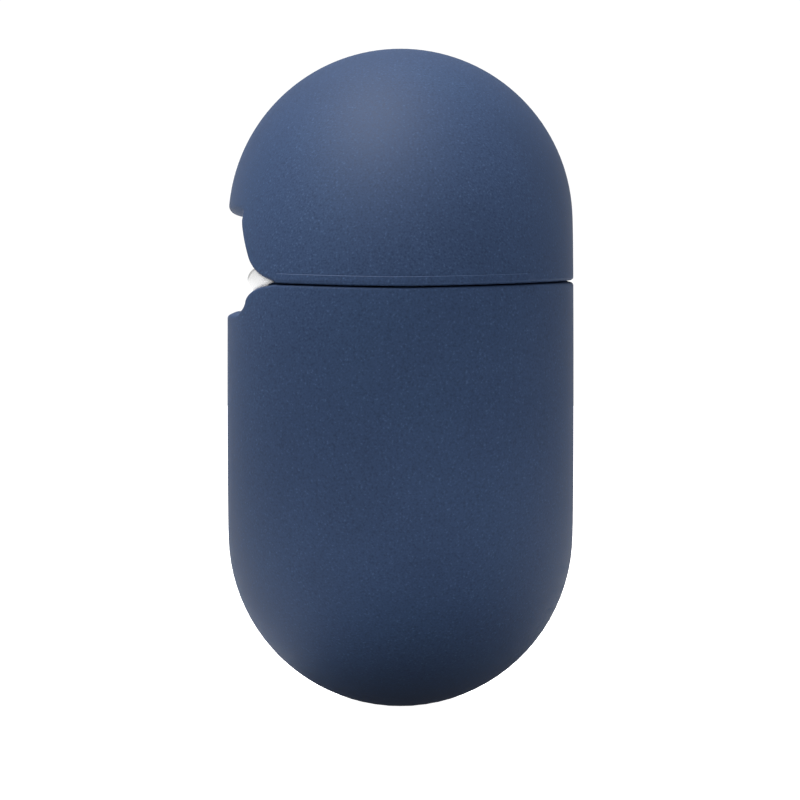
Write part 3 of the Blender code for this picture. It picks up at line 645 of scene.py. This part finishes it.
def stadium_ring(half_width, half_depth, steps=24):
    """Points round a stadium that is longest along its first direction."""
    reach = half_width - half_depth
    right = arc_points((reach, 0), (half_depth, half_depth), -90, 90, steps)
    left = arc_points((-reach, 0), (half_depth, half_depth), 90, 270, steps)
    return np.concatenate([right, left])


def hole_rings(ring_at, lip, surface, far):
    """Rings of a cutter whose mouth opens out in a rounded lip where it meets a surface.

    ring_at(growth) is the hole's outline grown sideways. surface and far are heights; the
    cutter runs from outside the surface to far.
    """
    sign = 1 if far > surface else -1
    rings = []
    steep = math.radians(24)
    outside = lip * 0.5
    flare = outside / math.tan(steep)
    rings.append((ring_at(lip * (1 - math.sin(steep)) + flare), surface - sign * outside))
    for angle in np.linspace(steep, math.pi / 2, 6):
        growth = lip * (1 - math.sin(angle))
        rings.append((ring_at(growth), surface + sign * lip * (1 - math.cos(angle))))
    rings.append((ring_at(0), far))
    return rings


def along_y(rings):
    """Rings of (x, z) points at heights along Y."""
    return [np.c_[ring[:, 0], np.full(len(ring), height), ring[:, 1]] for ring, height in rings]


def circle_at(z, radius, steps):
    def ring(growth):
        size = radius + growth
        return arc_points((0, z), (size, size), 0, 360, steps)[:-1]

    return ring


# ---- Shells of the cover and the case ----

# Rounded edges, along the surface and into the wall. A lip is the edge at a notch's top.
COVER_EDGE = {"lid": (0.21 * MM, 0.30 * MM), "base": (0.27 * MM, 0.32 * MM)}
COVER_LIP = {"lid": (0.7 * MM, 0.85 * MM), "base": (0.38 * MM, 0.68 * MM)}
SEAM_SAG = 0.36 * MM
SEAM_MEET = 0.042 * MM  # how far each cover's inner edge reaches past its rim
LID_INSETS = np.array([1.0, 0.84, 0.72, 0.66, 0.60, 0.50, 0.40, 0.30]) * MM
BASE_INSETS = np.array([0.50, 0.40]) * MM
CASE_EDGE = (0.16 * MM, 0.16 * MM)
CASE_INSETS = np.array([0.30, 0.23]) * MM
CASE_GAP = 0.2 * MM
BAND_PROUD = 0.055 * MM
SEAM_FLIPPED = TOP_Z - SEAM_Z
PORT_CUT_OUTSIDE = 1.0 * MM  # the port cutter's flat ends, clear of the wall on both sides
PORT_CUT_INSIDE = 2.9 * MM
# Openings: the port's half width, half depth and lip, and the radius and lip of the others
COVER_PORT = (6.6 * MM, 3.4 * MM, 0.3 * MM)
COVER_BUTTON = (4.8 * MM, 0.35 * MM)
COVER_LIGHT = (1.2 * MM, 0.3 * MM)
CASE_PORT = (4.75 * MM, 1.9 * MM, 0.15 * MM)
CASE_BUTTON = (4.05 * MM, 0.08 * MM)
CASE_LIGHT = (0.68 * MM, 0.05 * MM)
CUT_PAST_WALL = 0.3 * MM  # how far the case's other cutters run past the inside of its wall
BUTTON_STEPS = 72
LIGHT_STEPS = 36


def make_shells():
    rim = SEAM_Z + COVER_GAP / 2
    rows = half_shell(
        cover_lid_outline(rim), rim, COVER_RADIUS, COVER_INSIDE, COVER_EDGE["lid"],
        LID_INSETS, COVER_LIP["lid"], BAND_PROUD, SEAM_SAG, SEAM_MEET,
    )
    piece(ring_mesh("lid_cover", mirrored_rows(rows)), "cover", "lid", "cover_lid")

    rim = SEAM_FLIPPED + COVER_GAP / 2
    top = SEAM_FLIPPED + BASE_NOTCH_DROP
    outline = slot_outline(rim, top, NOTCH_HALF_WIDTH, BASE_CORNER, BASE_FLARE, FLARE_REACH)
    rows = half_shell(
        outline, rim, COVER_RADIUS, COVER_INSIDE, COVER_EDGE["base"], BASE_INSETS,
        COVER_LIP["base"], 0.0, -SEAM_SAG, SEAM_MEET,
    )
    mesh = ring_mesh("base_cover", mirrored_rows(upside_down(rows)))
    holes = wall_holes(COVER_RADIUS, CASE_RADIUS, COVER_PORT, COVER_BUTTON, COVER_LIGHT)
    mesh = cut_mesh(mesh, holes)
    piece(mesh, "cover", "base", "cover_base", angle=30)

    rim = SEAM_Z + CASE_GAP / 2
    outline = slot_outline(rim, SEAM_Z + CASE_SLOT_REACH, *CASE_SLOT)
    rows = half_shell(outline, rim, CASE_RADIUS, CASE_INSIDE, CASE_EDGE, CASE_INSETS)
    piece(ring_mesh("lid_case", mirrored_rows(rows)), "case", "lid", "lid_shell")

    rim = SEAM_FLIPPED + CASE_GAP / 2
    outline = slot_outline(rim, SEAM_FLIPPED + CASE_SLOT_REACH, *CASE_SLOT)
    rows = half_shell(outline, rim, CASE_RADIUS, CASE_INSIDE, CASE_EDGE, CASE_INSETS)
    mesh = ring_mesh("base_case", mirrored_rows(upside_down(rows)))
    inside = CASE_INSIDE - CUT_PAST_WALL
    holes = wall_holes(CASE_RADIUS, inside, CASE_PORT, CASE_BUTTON, CASE_LIGHT)
    mesh = cut_mesh(mesh, holes)
    piece(mesh, "case", "base", "base_shell", angle=30)


def port_cutter(name, radius, half_width, half_depth, lip):
    """A stadium hole through the round bottom of a pill, its lip following the curve.

    Both ends of the cutter are flat, because a curved end could bow back into the wall.
    """

    def ring(growth):
        return stadium_ring(half_width + growth, half_depth + growth)

    lowest = COVER_RADIUS - radius
    rings = []
    for outline, height in hole_rings(ring, lip, 0, PORT_CUT_INSIDE):
        x, y = outline.T
        bottom = lowest + radius - np.sqrt(radius**2 - y**2)
        rings.append(np.c_[x, y, bottom + height])
    mouth = rings[0].copy()
    mouth[:, 2] = lowest - PORT_CUT_OUTSIDE
    rings[-1][:, 2] = lowest + PORT_CUT_INSIDE
    return loft(name, [mouth, *rings])


button_low, button_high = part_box("pairing_button")
BUTTON_Z = (button_low.z + button_high.z) / 2
BUTTON_FLANGE = (button_high.x - button_low.x) / 2
pipe_low, pipe_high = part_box("status_light_pipe")
LIGHT_Z = (pipe_low.z + pipe_high.z) / 2
BUTTON_RADIUS = 3.9 * MM
LIGHT_RADIUS = 0.6 * MM


def wall_holes(radius, inside, port, button, light):
    """Cutters for the openings of a pill's wall, the button's and the light's along Y."""
    button_ring = circle_at(BUTTON_Z, button[0], BUTTON_STEPS)
    light_ring = circle_at(LIGHT_Z, light[0], LIGHT_STEPS)
    return [
        port_cutter("cut_port", radius, *port),
        loft("cut_button", along_y(hole_rings(button_ring, button[1], radius, inside))),
        loft("cut_light", along_y(hole_rings(light_ring, light[1], -radius, -inside))),
    ]


make_shells()


# ---- Linings with a pocket for each earbud ----

WELL_X = 13.0 * MM
BOWL = np.array([8.6, 7.1, 9.0]) * MM
STEM_X = 15.0 * MM
STEM_RADIUS = 3.6 * MM
WELL_FLOOR = 9.0 * MM
LINING_WALL = 0.9 * MM
LIP = 0.45 * MM
HINGE_CLEAR_Y = 8.15 * MM
LINING_FIT = 0.3 * MM  # between the case's wall and the lining
AROUND = 96
OUTSIDE = 60 * MM  # farther from a pocket than any edge of the lining
HALVINGS = 40
BORE_MOUTH = 0.4 * MM
BORE_LIP = ((0.16, 0.05), (0.04, 0.2), (0, 0.42))  # mm, wider by and lower by
PIN_HOLE_RADIUS = 0.62 * MM
PIN_HOLE_ENDS = (7.4 * MM, 9.6 * MM)


def lining_edge(angles, z, radius):
    """Where rays from a pocket's centre leave half of the lining's outline."""
    far = np.full(len(angles), OUTSIDE)
    near = np.zeros(len(angles))
    cos, sin = np.cos(angles), np.sin(angles)
    for _ in range(HALVINGS):
        middle = (near + far) / 2
        x, y = WELL_X + middle * cos, middle * sin
        limit = depth_at(x, np.full(len(x), z), radius)
        limit = np.where(y > 0, np.minimum(limit, HINGE_CLEAR_Y), limit)
        inside = (x >= 0) & (np.abs(y) <= limit) & (plate_distance(x, z) < radius)
        near, far = np.where(inside, middle, near), np.where(inside, far, middle)
    return np.stack([WELL_X + near * cos, near * sin, np.full(len(near), z)], 1)


def bowl_ring(angles, z, growth=0.0):
    """The pocket's outline at a height, grown sideways."""
    share = math.sqrt(max(0, 1 - ((z - SEAM_Z) / BOWL[2]) ** 2))
    x = WELL_X + (BOWL[0] * share + growth) * np.cos(angles)
    y = (BOWL[1] * share + growth) * np.sin(angles)
    return np.stack([x, y, np.full(len(angles), z)], 1)


def over_bowl(first, last, count):
    """Rings over the pocket's ellipsoid between two rings that lie on it."""
    centre = np.array([WELL_X, 0, SEAM_Z])
    start, end = ((ring - centre) / BOWL for ring in (first, last))
    rings = []
    for part in np.linspace(0, 1, count + 2)[1:-1]:
        mixed = start * (1 - part) + end * part
        mixed /= np.linalg.norm(mixed, axis=1, keepdims=True)
        rings.append(centre + mixed * BOWL)
    return rings


def lining_mesh(name, face_z, direction, radius):
    """A lining: a flat face with two pockets, which open at it and run up or down."""
    front_corner = math.atan2(-radius, -WELL_X)
    back_corner = math.atan2(HINGE_CLEAR_Y, -WELL_X)
    angles = np.linspace(-math.pi, math.pi, AROUND, endpoint=False)
    angles = np.sort(np.concatenate([angles, [front_corner, back_corner]]))
    outer = lining_edge(angles, face_z, radius)
    outer[np.abs(outer[:, 0]) < 1e-6, 0] = 0
    lip_ring = bowl_ring(angles, face_z, LIP)
    rings = [outer, outer * 0.6 + lip_ring * 0.4, outer * 0.15 + lip_ring * 0.85]
    for turn in np.radians(np.linspace(0, 90, 6)):
        z = face_z + direction * LIP * (1 - math.cos(turn))
        rings.append(bowl_ring(angles, z, LIP * (1 - math.sin(turn))))
    if direction > 0:
        pole = np.tile([WELL_X, 0, SEAM_Z + BOWL[2]], (len(angles), 1))
        rings += over_bowl(rings[-1], pole, 14) + [pole]
    else:
        rings += stem_rings(angles, rings[-1])
    bm = bmesh.new()
    bm.from_mesh(ring_mesh("half", rings, cap_last=direction < 0))
    mirror = bm.copy()
    bmesh.ops.scale(mirror, vec=(-1, 1, 1), verts=mirror.verts)
    bmesh.ops.reverse_faces(mirror, faces=mirror.faces)
    other = bpy.data.meshes.new("other")
    mirror.to_mesh(other)
    bm.from_mesh(other)
    bmesh.ops.remove_doubles(bm, verts=bm.verts, dist=10 * WELD)
    bmesh.ops.recalc_face_normals(bm, faces=bm.faces)
    bm.normal_update()
    flat = max(bm.faces, key=lambda face: face.calc_area())
    if flat.normal.z * direction > 0:
        bmesh.ops.reverse_faces(bm, faces=bm.faces)
    mesh = bpy.data.meshes.new(name)
    bm.to_mesh(mesh)
    for used in (bm, mirror):
        used.free()
    return thickened(mesh, LINING_WALL)


def stem_rings(angles, bowl_edge):
    """Rings from the bowl down the stem's bore to its floor."""
    centre = np.array([WELL_X, 0, SEAM_Z])

    def bore(radius):
        x = STEM_X + radius * np.cos(angles)
        y = radius * np.sin(angles)
        return x, y

    def on_bowl(radius):
        x, y = bore(radius)
        inside = 1 - ((x - centre[0]) / BOWL[0]) ** 2 - (y / BOWL[1]) ** 2
        return np.stack([x, y, SEAM_Z - BOWL[2] * np.sqrt(np.maximum(inside, 0))], 1)

    mouth = on_bowl(STEM_RADIUS + BORE_MOUTH)
    rings = over_bowl(bowl_edge, mouth, 12) + [mouth]
    for growth, drop in BORE_LIP:
        edge = on_bowl(STEM_RADIUS + growth * MM)
        edge[:, 2] -= drop * MM
        rings.append(edge)
    x, y = bore(STEM_RADIUS)
    start = rings[-1][:, 2]
    for part in (0.25, 0.5, 0.75, 1.0):
        z = start + (WELL_FLOOR + LIP - start) * part
        rings.append(np.stack([x, y, z], 1))
    for turn in np.radians((30, 60, 90)):
        x, y = bore(STEM_RADIUS - LIP * (1 - math.cos(turn)))
        z = np.full(len(x), WELL_FLOOR + LIP * (1 - math.sin(turn)))
        rings.append(np.stack([x, y, z], 1))
    return rings


def thickened(mesh, thickness):
    obj = bpy.data.objects.new("thin", mesh)
    bpy.context.scene.collection.objects.link(obj)
    solid = obj.modifiers.new("wall", "SOLIDIFY")
    solid.thickness = thickness
    solid.offset = -1
    bpy.context.view_layer.update()
    graph = bpy.context.evaluated_depsgraph_get()
    result = bpy.data.meshes.new_from_object(obj.evaluated_get(graph))
    result.name = mesh.name
    bpy.data.objects.remove(obj)
    return result


PINS = [name for name in frame["nodes"] if name.startswith("contact_pin")]


def make_linings():
    radius = CASE_INSIDE - LINING_FIT
    _, cradle_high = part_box("cradle")
    liner_low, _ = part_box("lid_liner")
    wells = lining_mesh("earbud_wells", cradle_high.z, -1, radius)
    holes = []
    for name in PINS:
        low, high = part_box(name)
        x = (low.x + high.x) / 2
        ring = arc_points((x, 0), (PIN_HOLE_RADIUS, PIN_HOLE_RADIUS), 0, 360, 24)[:-1]
        rings = [np.c_[ring, np.full(len(ring), z)] for z in PIN_HOLE_ENDS]
        holes.append(loft("cut_pin", rings))
    piece(cut_mesh(wells, holes), "lining", "base", "cradle", angle=35)
    liner = lining_mesh("lid_pockets", liner_low.z, 1, radius)
    piece(liner, "lining", "lid", "lid_liner", angle=35)


make_linings()


# ---- Small parts ----


def turned(name, profile, place, axis, steps=48):
    """A solid of revolution from (radius, height) points, about an axis through a place."""
    angles = np.radians(np.linspace(0, 360, steps, endpoint=False))
    rings = []
    for radius, height in profile:
        ring = np.stack(
            [radius * np.cos(angles), radius * np.sin(angles), np.full(steps, height)], 1
        )
        rings.append(np.roll(ring, "ZXY".index(axis), axis=1) + place)
    hollow = profile[0][0] > 0
    if hollow:
        rings.append(rings[0])
    return ring_mesh(name, rings)


def rounded_profile(corners, rounding, steps=4):
    """The profile with each of its corners rounded off by up to the given size."""
    points = [np.array(corner, float) for corner in corners]
    result = [points[0]]
    for before, corner, after in zip(points, points[1:], points[2:]):
        back, ahead = before - corner, after - corner
        size = min(rounding, np.linalg.norm(back) * 0.45, np.linalg.norm(ahead) * 0.45)
        start = corner + back / np.linalg.norm(back) * size
        end = corner + ahead / np.linalg.norm(ahead) * size
        for part in np.linspace(0, 1, steps + 1):
            inner, outer = (1 - part) ** 2, part**2
            result.append(start * inner + corner * 2 * part * (1 - part) + end * outer)
    return [tuple(point) for point in (*result, points[-1])]


def rounded_slab(name, low, high, corner, edge):
    """A plate lying across Y, with round corners and rounded-off edges."""
    middle = ((low[0] + high[0]) / 2, (low[2] + high[2]) / 2)

    def ring(inset, height):
        half = ((high[0] - low[0]) / 2 - inset, (high[2] - low[2]) / 2 - inset)
        size = corner - inset
        quarters = []
        for turn, (across, up) in enumerate(((1, 1), (-1, 1), (-1, -1), (1, -1))):
            centre = (middle[0] + across * (half[0] - size), middle[1] + up * (half[1] - size))
            quarters.append(arc_points(centre, (size, size), 90 * turn, 90 * turn + 90, 8))
        flat = np.concatenate(quarters)
        return np.c_[flat[:, 0], np.full(len(flat), height), flat[:, 1]]

    bends = np.radians([0, 30, 60, 90])
    inner = [(edge * (1 - math.sin(a)), low[1] + edge * (1 - math.cos(a))) for a in bends]
    outer = [(inset, low[1] + high[1] - height) for inset, height in inner]
    return loft(name, [ring(*pair) for pair in (*inner, *outer[::-1])])


BARREL_RADIUS = 1.1 * MM
BARREL_BORE = 0.6 * MM
LEAF_FRONT = 8.45 * MM
LEAF_BACK = 9.25 * MM
LEAF_PAST_PIN = 0.4 * MM  # how far a plate runs past the pin's height, into its knuckle
LEAF_BELOW_PIN = 1.7 * MM  # the base leaf's full-width plate ends this far under the pin
LEAF_END = 19.4 * MM
KNUCKLE_GAP = 0.3 * MM
CAP_PROUD = 0.15 * MM  # how far the shown hinge ends run past the CAD leaf's
BASE_ARM_RISE = 1 * MM  # how far above the base leaf's foot its arms begin


def barrel(start, end, bore=0.0):
    """A rolled knuckle along X with eased ends, open for the pin if it has a bore."""
    length = abs(end - start)
    corners = [(bore, 0), (BARREL_RADIUS, 0), (BARREL_RADIUS, length), (bore, length)]
    outline = rounded_profile(corners, 0.15 * MM)
    place = (min(start, end), HINGE_Y, SEAM_Z)
    return turned("barrel", outline, place, "X", 64)


def leaf(start, end, low_z, high_z, corner=0.3 * MM):
    low, high = (start, LEAF_FRONT, low_z), (end, LEAF_BACK, high_z)
    return rounded_slab("leaf", low, high, corner, 0.08 * MM)


def make_hinge():
    lid_low, lid_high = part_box("hinge_lid_leaf")
    plate = leaf(lid_low.x, lid_high.x, SEAM_Z - LEAF_PAST_PIN, lid_high.z)
    knuckle = barrel(lid_low.x, lid_high.x, BARREL_BORE)
    mesh = cut_mesh(knuckle, [plate], "UNION")
    mesh.name = "lid_hinge_leaf"
    piece(mesh, "steel", "lid", "hinge_lid_leaf", angle=32)

    base_low, base_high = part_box("hinge_base_leaf")
    knuckle = lid_high.x + KNUCKLE_GAP
    cap_end = base_high.x + CAP_PROUD
    parts = [barrel(side * knuckle, side * cap_end) for side in (-1, 1)]
    for side in (-1, 1):
        start, end = sorted((side * knuckle, side * LEAF_END))
        parts.append(leaf(start, end, base_low.z + BASE_ARM_RISE, SEAM_Z + LEAF_PAST_PIN))
    plate = leaf(-LEAF_END, LEAF_END, base_low.z, SEAM_Z - LEAF_BELOW_PIN)
    mesh = cut_mesh(plate, parts, "UNION")
    mesh.name = "base_hinge_leaf"
    piece(mesh, "steel", "base", "hinge_base_leaf", angle=32)


FLANGE_BACK = 9.25 * MM
FLANGE_FRONT = 8.45 * MM
BUTTON_POST = 1.4 * MM
PIPE_FLANGE = 0.5 * MM


def make_button_and_light():
    face = button_high.y
    profile = [
        (0, face), (BUTTON_RADIUS, face), (BUTTON_RADIUS, FLANGE_BACK),
        (BUTTON_FLANGE, FLANGE_BACK), (BUTTON_FLANGE, FLANGE_FRONT),
        (BUTTON_POST, FLANGE_FRONT), (BUTTON_POST, button_low.y), (0, button_low.y),
    ]
    mesh = turned("pairing_cap", rounded_profile(profile, 0.28 * MM), (0, 0, BUTTON_Z), "Y", 96)
    piece(mesh, "case", "pairing_button", "pairing_button", angle=35)

    flange = (pipe_high.x - pipe_low.x) / 2
    step = pipe_high.y - PIPE_FLANGE
    profile = [
        (0, pipe_high.y), (flange, pipe_high.y), (flange, step),
        (LIGHT_RADIUS, step), (LIGHT_RADIUS, pipe_low.y), (0, pipe_low.y),
    ]
    mesh = turned("light_pipe", rounded_profile(profile, 0.12 * MM), (0, 0, LIGHT_Z), "Y")
    piece(mesh, "light", "base", "status_light_pipe", angle=35)


PORT_WALL = 0.35 * MM
ROOT_HEIGHT = 0.9 * MM
BLADE_HALF_WIDTH = 3.3 * MM
BLADE_HALF_DEPTH = 0.35 * MM
BLADE_IN_ROOT = 0.4 * MM  # how far below the root's top the blade ends, inside it
PAD_COUNT = 12
PAD_PITCH = 0.5 * MM
PAD_HALF_WIDTH = 0.13 * MM
PAD_HALF_DEPTH = 0.02 * MM  # pads lie half sunk in the blade's faces
PAD_ENDS = (0.35 * MM, 2.2 * MM)  # above the blade's tip


def make_port():
    low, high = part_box("port_shell")
    half_width, half_depth, wall = high.x, high.y, PORT_WALL

    def ring(inset, z):
        flat = stadium_ring(half_width - inset, half_depth - inset)
        return np.c_[flat, np.full(len(flat), z)]

    lip = wall / 2
    turns = np.radians(np.linspace(0, 180, 9))
    rings = [ring(0, high.z)]
    rings += [ring(lip * (1 - math.cos(a)), low.z + lip * (1 - math.sin(a))) for a in turns]
    rings.append(ring(wall, high.z - wall))
    piece(loft("port_liner", rings), "steel", "base", "port_shell", angle=35)

    low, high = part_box("port_tongue")
    root = rounded_slab(
        "root", (low.x, low.y, high.z - ROOT_HEIGHT), tuple(high), 0.2 * MM, 0.08 * MM
    )
    blade = rounded_slab(
        "blade", (-BLADE_HALF_WIDTH, -BLADE_HALF_DEPTH, low.z),
        (BLADE_HALF_WIDTH, BLADE_HALF_DEPTH, high.z - BLADE_IN_ROOT), 0.3 * MM, 0.12 * MM,
    )
    mesh = cut_mesh(blade, [root], "UNION")
    mesh.name = "port_blade"
    piece(mesh, "chip", "base", "port_tongue", angle=35)
    pads = bmesh.new()
    for face in (-1, 1):
        for count in range(PAD_COUNT):
            x = (count - (PAD_COUNT - 1) / 2) * PAD_PITCH
            y = face * BLADE_HALF_DEPTH
            pad = rounded_slab(
                "pad", (x - PAD_HALF_WIDTH, y - PAD_HALF_DEPTH, low.z + PAD_ENDS[0]),
                (x + PAD_HALF_WIDTH, y + PAD_HALF_DEPTH, low.z + PAD_ENDS[1]),
                0.05 * MM, 0.008 * MM,
            )
            pads.from_mesh(pad)
    mesh = bpy.data.meshes.new("port_contacts")
    pads.to_mesh(mesh)
    pads.free()
    piece(mesh, "gold", "base", angle=35)


def make_pins():
    for name in PINS:
        low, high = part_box(name)
        radius = (high.x - low.x) / 2
        place = ((low.x + high.x) / 2, 0, 0)
        profile = rounded_profile(
            [(0, high.z), (radius, high.z), (radius, low.z), (0, low.z)], 0.3 * MM
        )
        mesh = turned(name.replace("contact", "charging"), profile, place, "Z", 32)
        piece(mesh, "gold", name, name, angle=50)


make_hinge()
make_button_and_light()
make_port()
make_pins()


# ---- Floor, light and camera ----

FLOOR_HALF = 3.0
FLOOR_GREY = 0.9
GROUND_ROUGHNESS = 0.9
TABLE_DROP = 0.2 * MM
TABLE_GREY = 0.6
TABLE_GLOW = 0.16
FLOOR_GLOW = 1.0
SKY_STRENGTH = 1.0
# Grey levels from straight down to straight up: brightest in a band at the horizon
SKY_LEVELS = ((0.0, 0.3), (0.45, 0.8), (0.49, 1.05), (0.52, 1.05), (0.6, 0.45), (1.0, 0.6))
SKY = [(level, (grey, grey, grey)) for level, grey in SKY_LEVELS]
KEY_PLACE = (0.12, 0.2, 1.0)
KEY_SIZE = (0.5, 0.5)
KEY_WATTS = 22.0
KEY_TARGET = (0, 0, 0.024)
CAMERA_ELEVATION = 0.4  # degrees
CAMERA_DISTANCE = 1.7  # metres
CAMERA_TARGET = (0, 0.04 * MM, 22.1 * MM)
LENS = 1051.0  # mm, so that the closed case nearly fills the picture from that distance


def ground(name, height, grey, glow):
    """A wide staged plane."""
    bm = bmesh.new()
    corners = [(-1, -1), (1, -1), (1, 1), (-1, 1)]
    bm.faces.new([bm.verts.new((x * FLOOR_HALF, y * FLOOR_HALF, height)) for x, y in corners])
    mesh = bpy.data.meshes.new(name)
    bm.to_mesh(mesh)
    bm.free()
    material, shader, _, _ = new_material(name, (grey, grey, grey), GROUND_ROUGHNESS)
    shader.inputs["Emission Color"].default_value = (1, 1, 1, 1)
    shader.inputs["Emission Strength"].default_value = glow
    mesh.materials.append(material)
    plane = bpy.data.objects.new(name, mesh)
    bpy.context.scene.collection.objects.link(plane)
    return plane


def make_floor():
    """The white floor that is seen, and just under it the greyer one that lights the case."""
    floor = ground("floor", 0, FLOOR_GREY, FLOOR_GLOW)
    floor.visible_diffuse = False
    floor.visible_glossy = False
    floor.visible_shadow = False
    table = ground("table", -TABLE_DROP, TABLE_GREY, TABLE_GLOW)
    table.visible_camera = False


def make_world():
    """A studio that is brightest in a band at the horizon."""
    world = bpy.data.worlds.new("studio")
    bpy.context.scene.world = world
    world.use_nodes = True
    nodes, links = world.node_tree.nodes, world.node_tree.links
    place = nodes.new("ShaderNodeTexCoord")
    split = nodes.new("ShaderNodeSeparateXYZ")
    links.new(place.outputs["Generated"], split.inputs["Vector"])
    span = nodes.new("ShaderNodeMapRange")
    span.inputs["From Min"].default_value = -1
    links.new(split.outputs["Z"], span.inputs["Value"])
    colour = ramp(nodes, links, span.outputs["Result"], SKY)
    links.new(colour, nodes["Background"].inputs["Color"])
    nodes["Background"].inputs["Strength"].default_value = SKY_STRENGTH


def softbox(name, place, size, power, target):
    light = bpy.data.lights.new(name, "AREA")
    light.shape = "RECTANGLE"
    light.size, light.size_y = size
    light.energy = power
    obj = bpy.data.objects.new(name, light)
    bpy.context.scene.collection.objects.link(obj)
    obj.location = place
    obj.rotation_euler = (Vector(target) - Vector(place)).to_track_quat("-Z", "Y").to_euler()


def make_camera():
    data = bpy.data.cameras.new("camera")
    data.sensor_width = 36
    data.lens = LENS
    camera = bpy.data.objects.new("camera", data)
    bpy.context.scene.collection.objects.link(camera)
    height = math.radians(CAMERA_ELEVATION)
    aim = Vector(CAMERA_TARGET)
    camera.location = aim + CAMERA_DISTANCE * Vector((-math.cos(height), 0, math.sin(height)))
    camera.rotation_euler = (aim - camera.location).to_track_quat("-Z", "Y").to_euler()
    data.clip_start = 0.01
    bpy.context.scene.camera = camera


make_floor()
make_world()
softbox("key", KEY_PLACE, KEY_SIZE, KEY_WATTS, KEY_TARGET)
make_camera()
bpy.context.scene.view_settings.view_transform = "Standard"
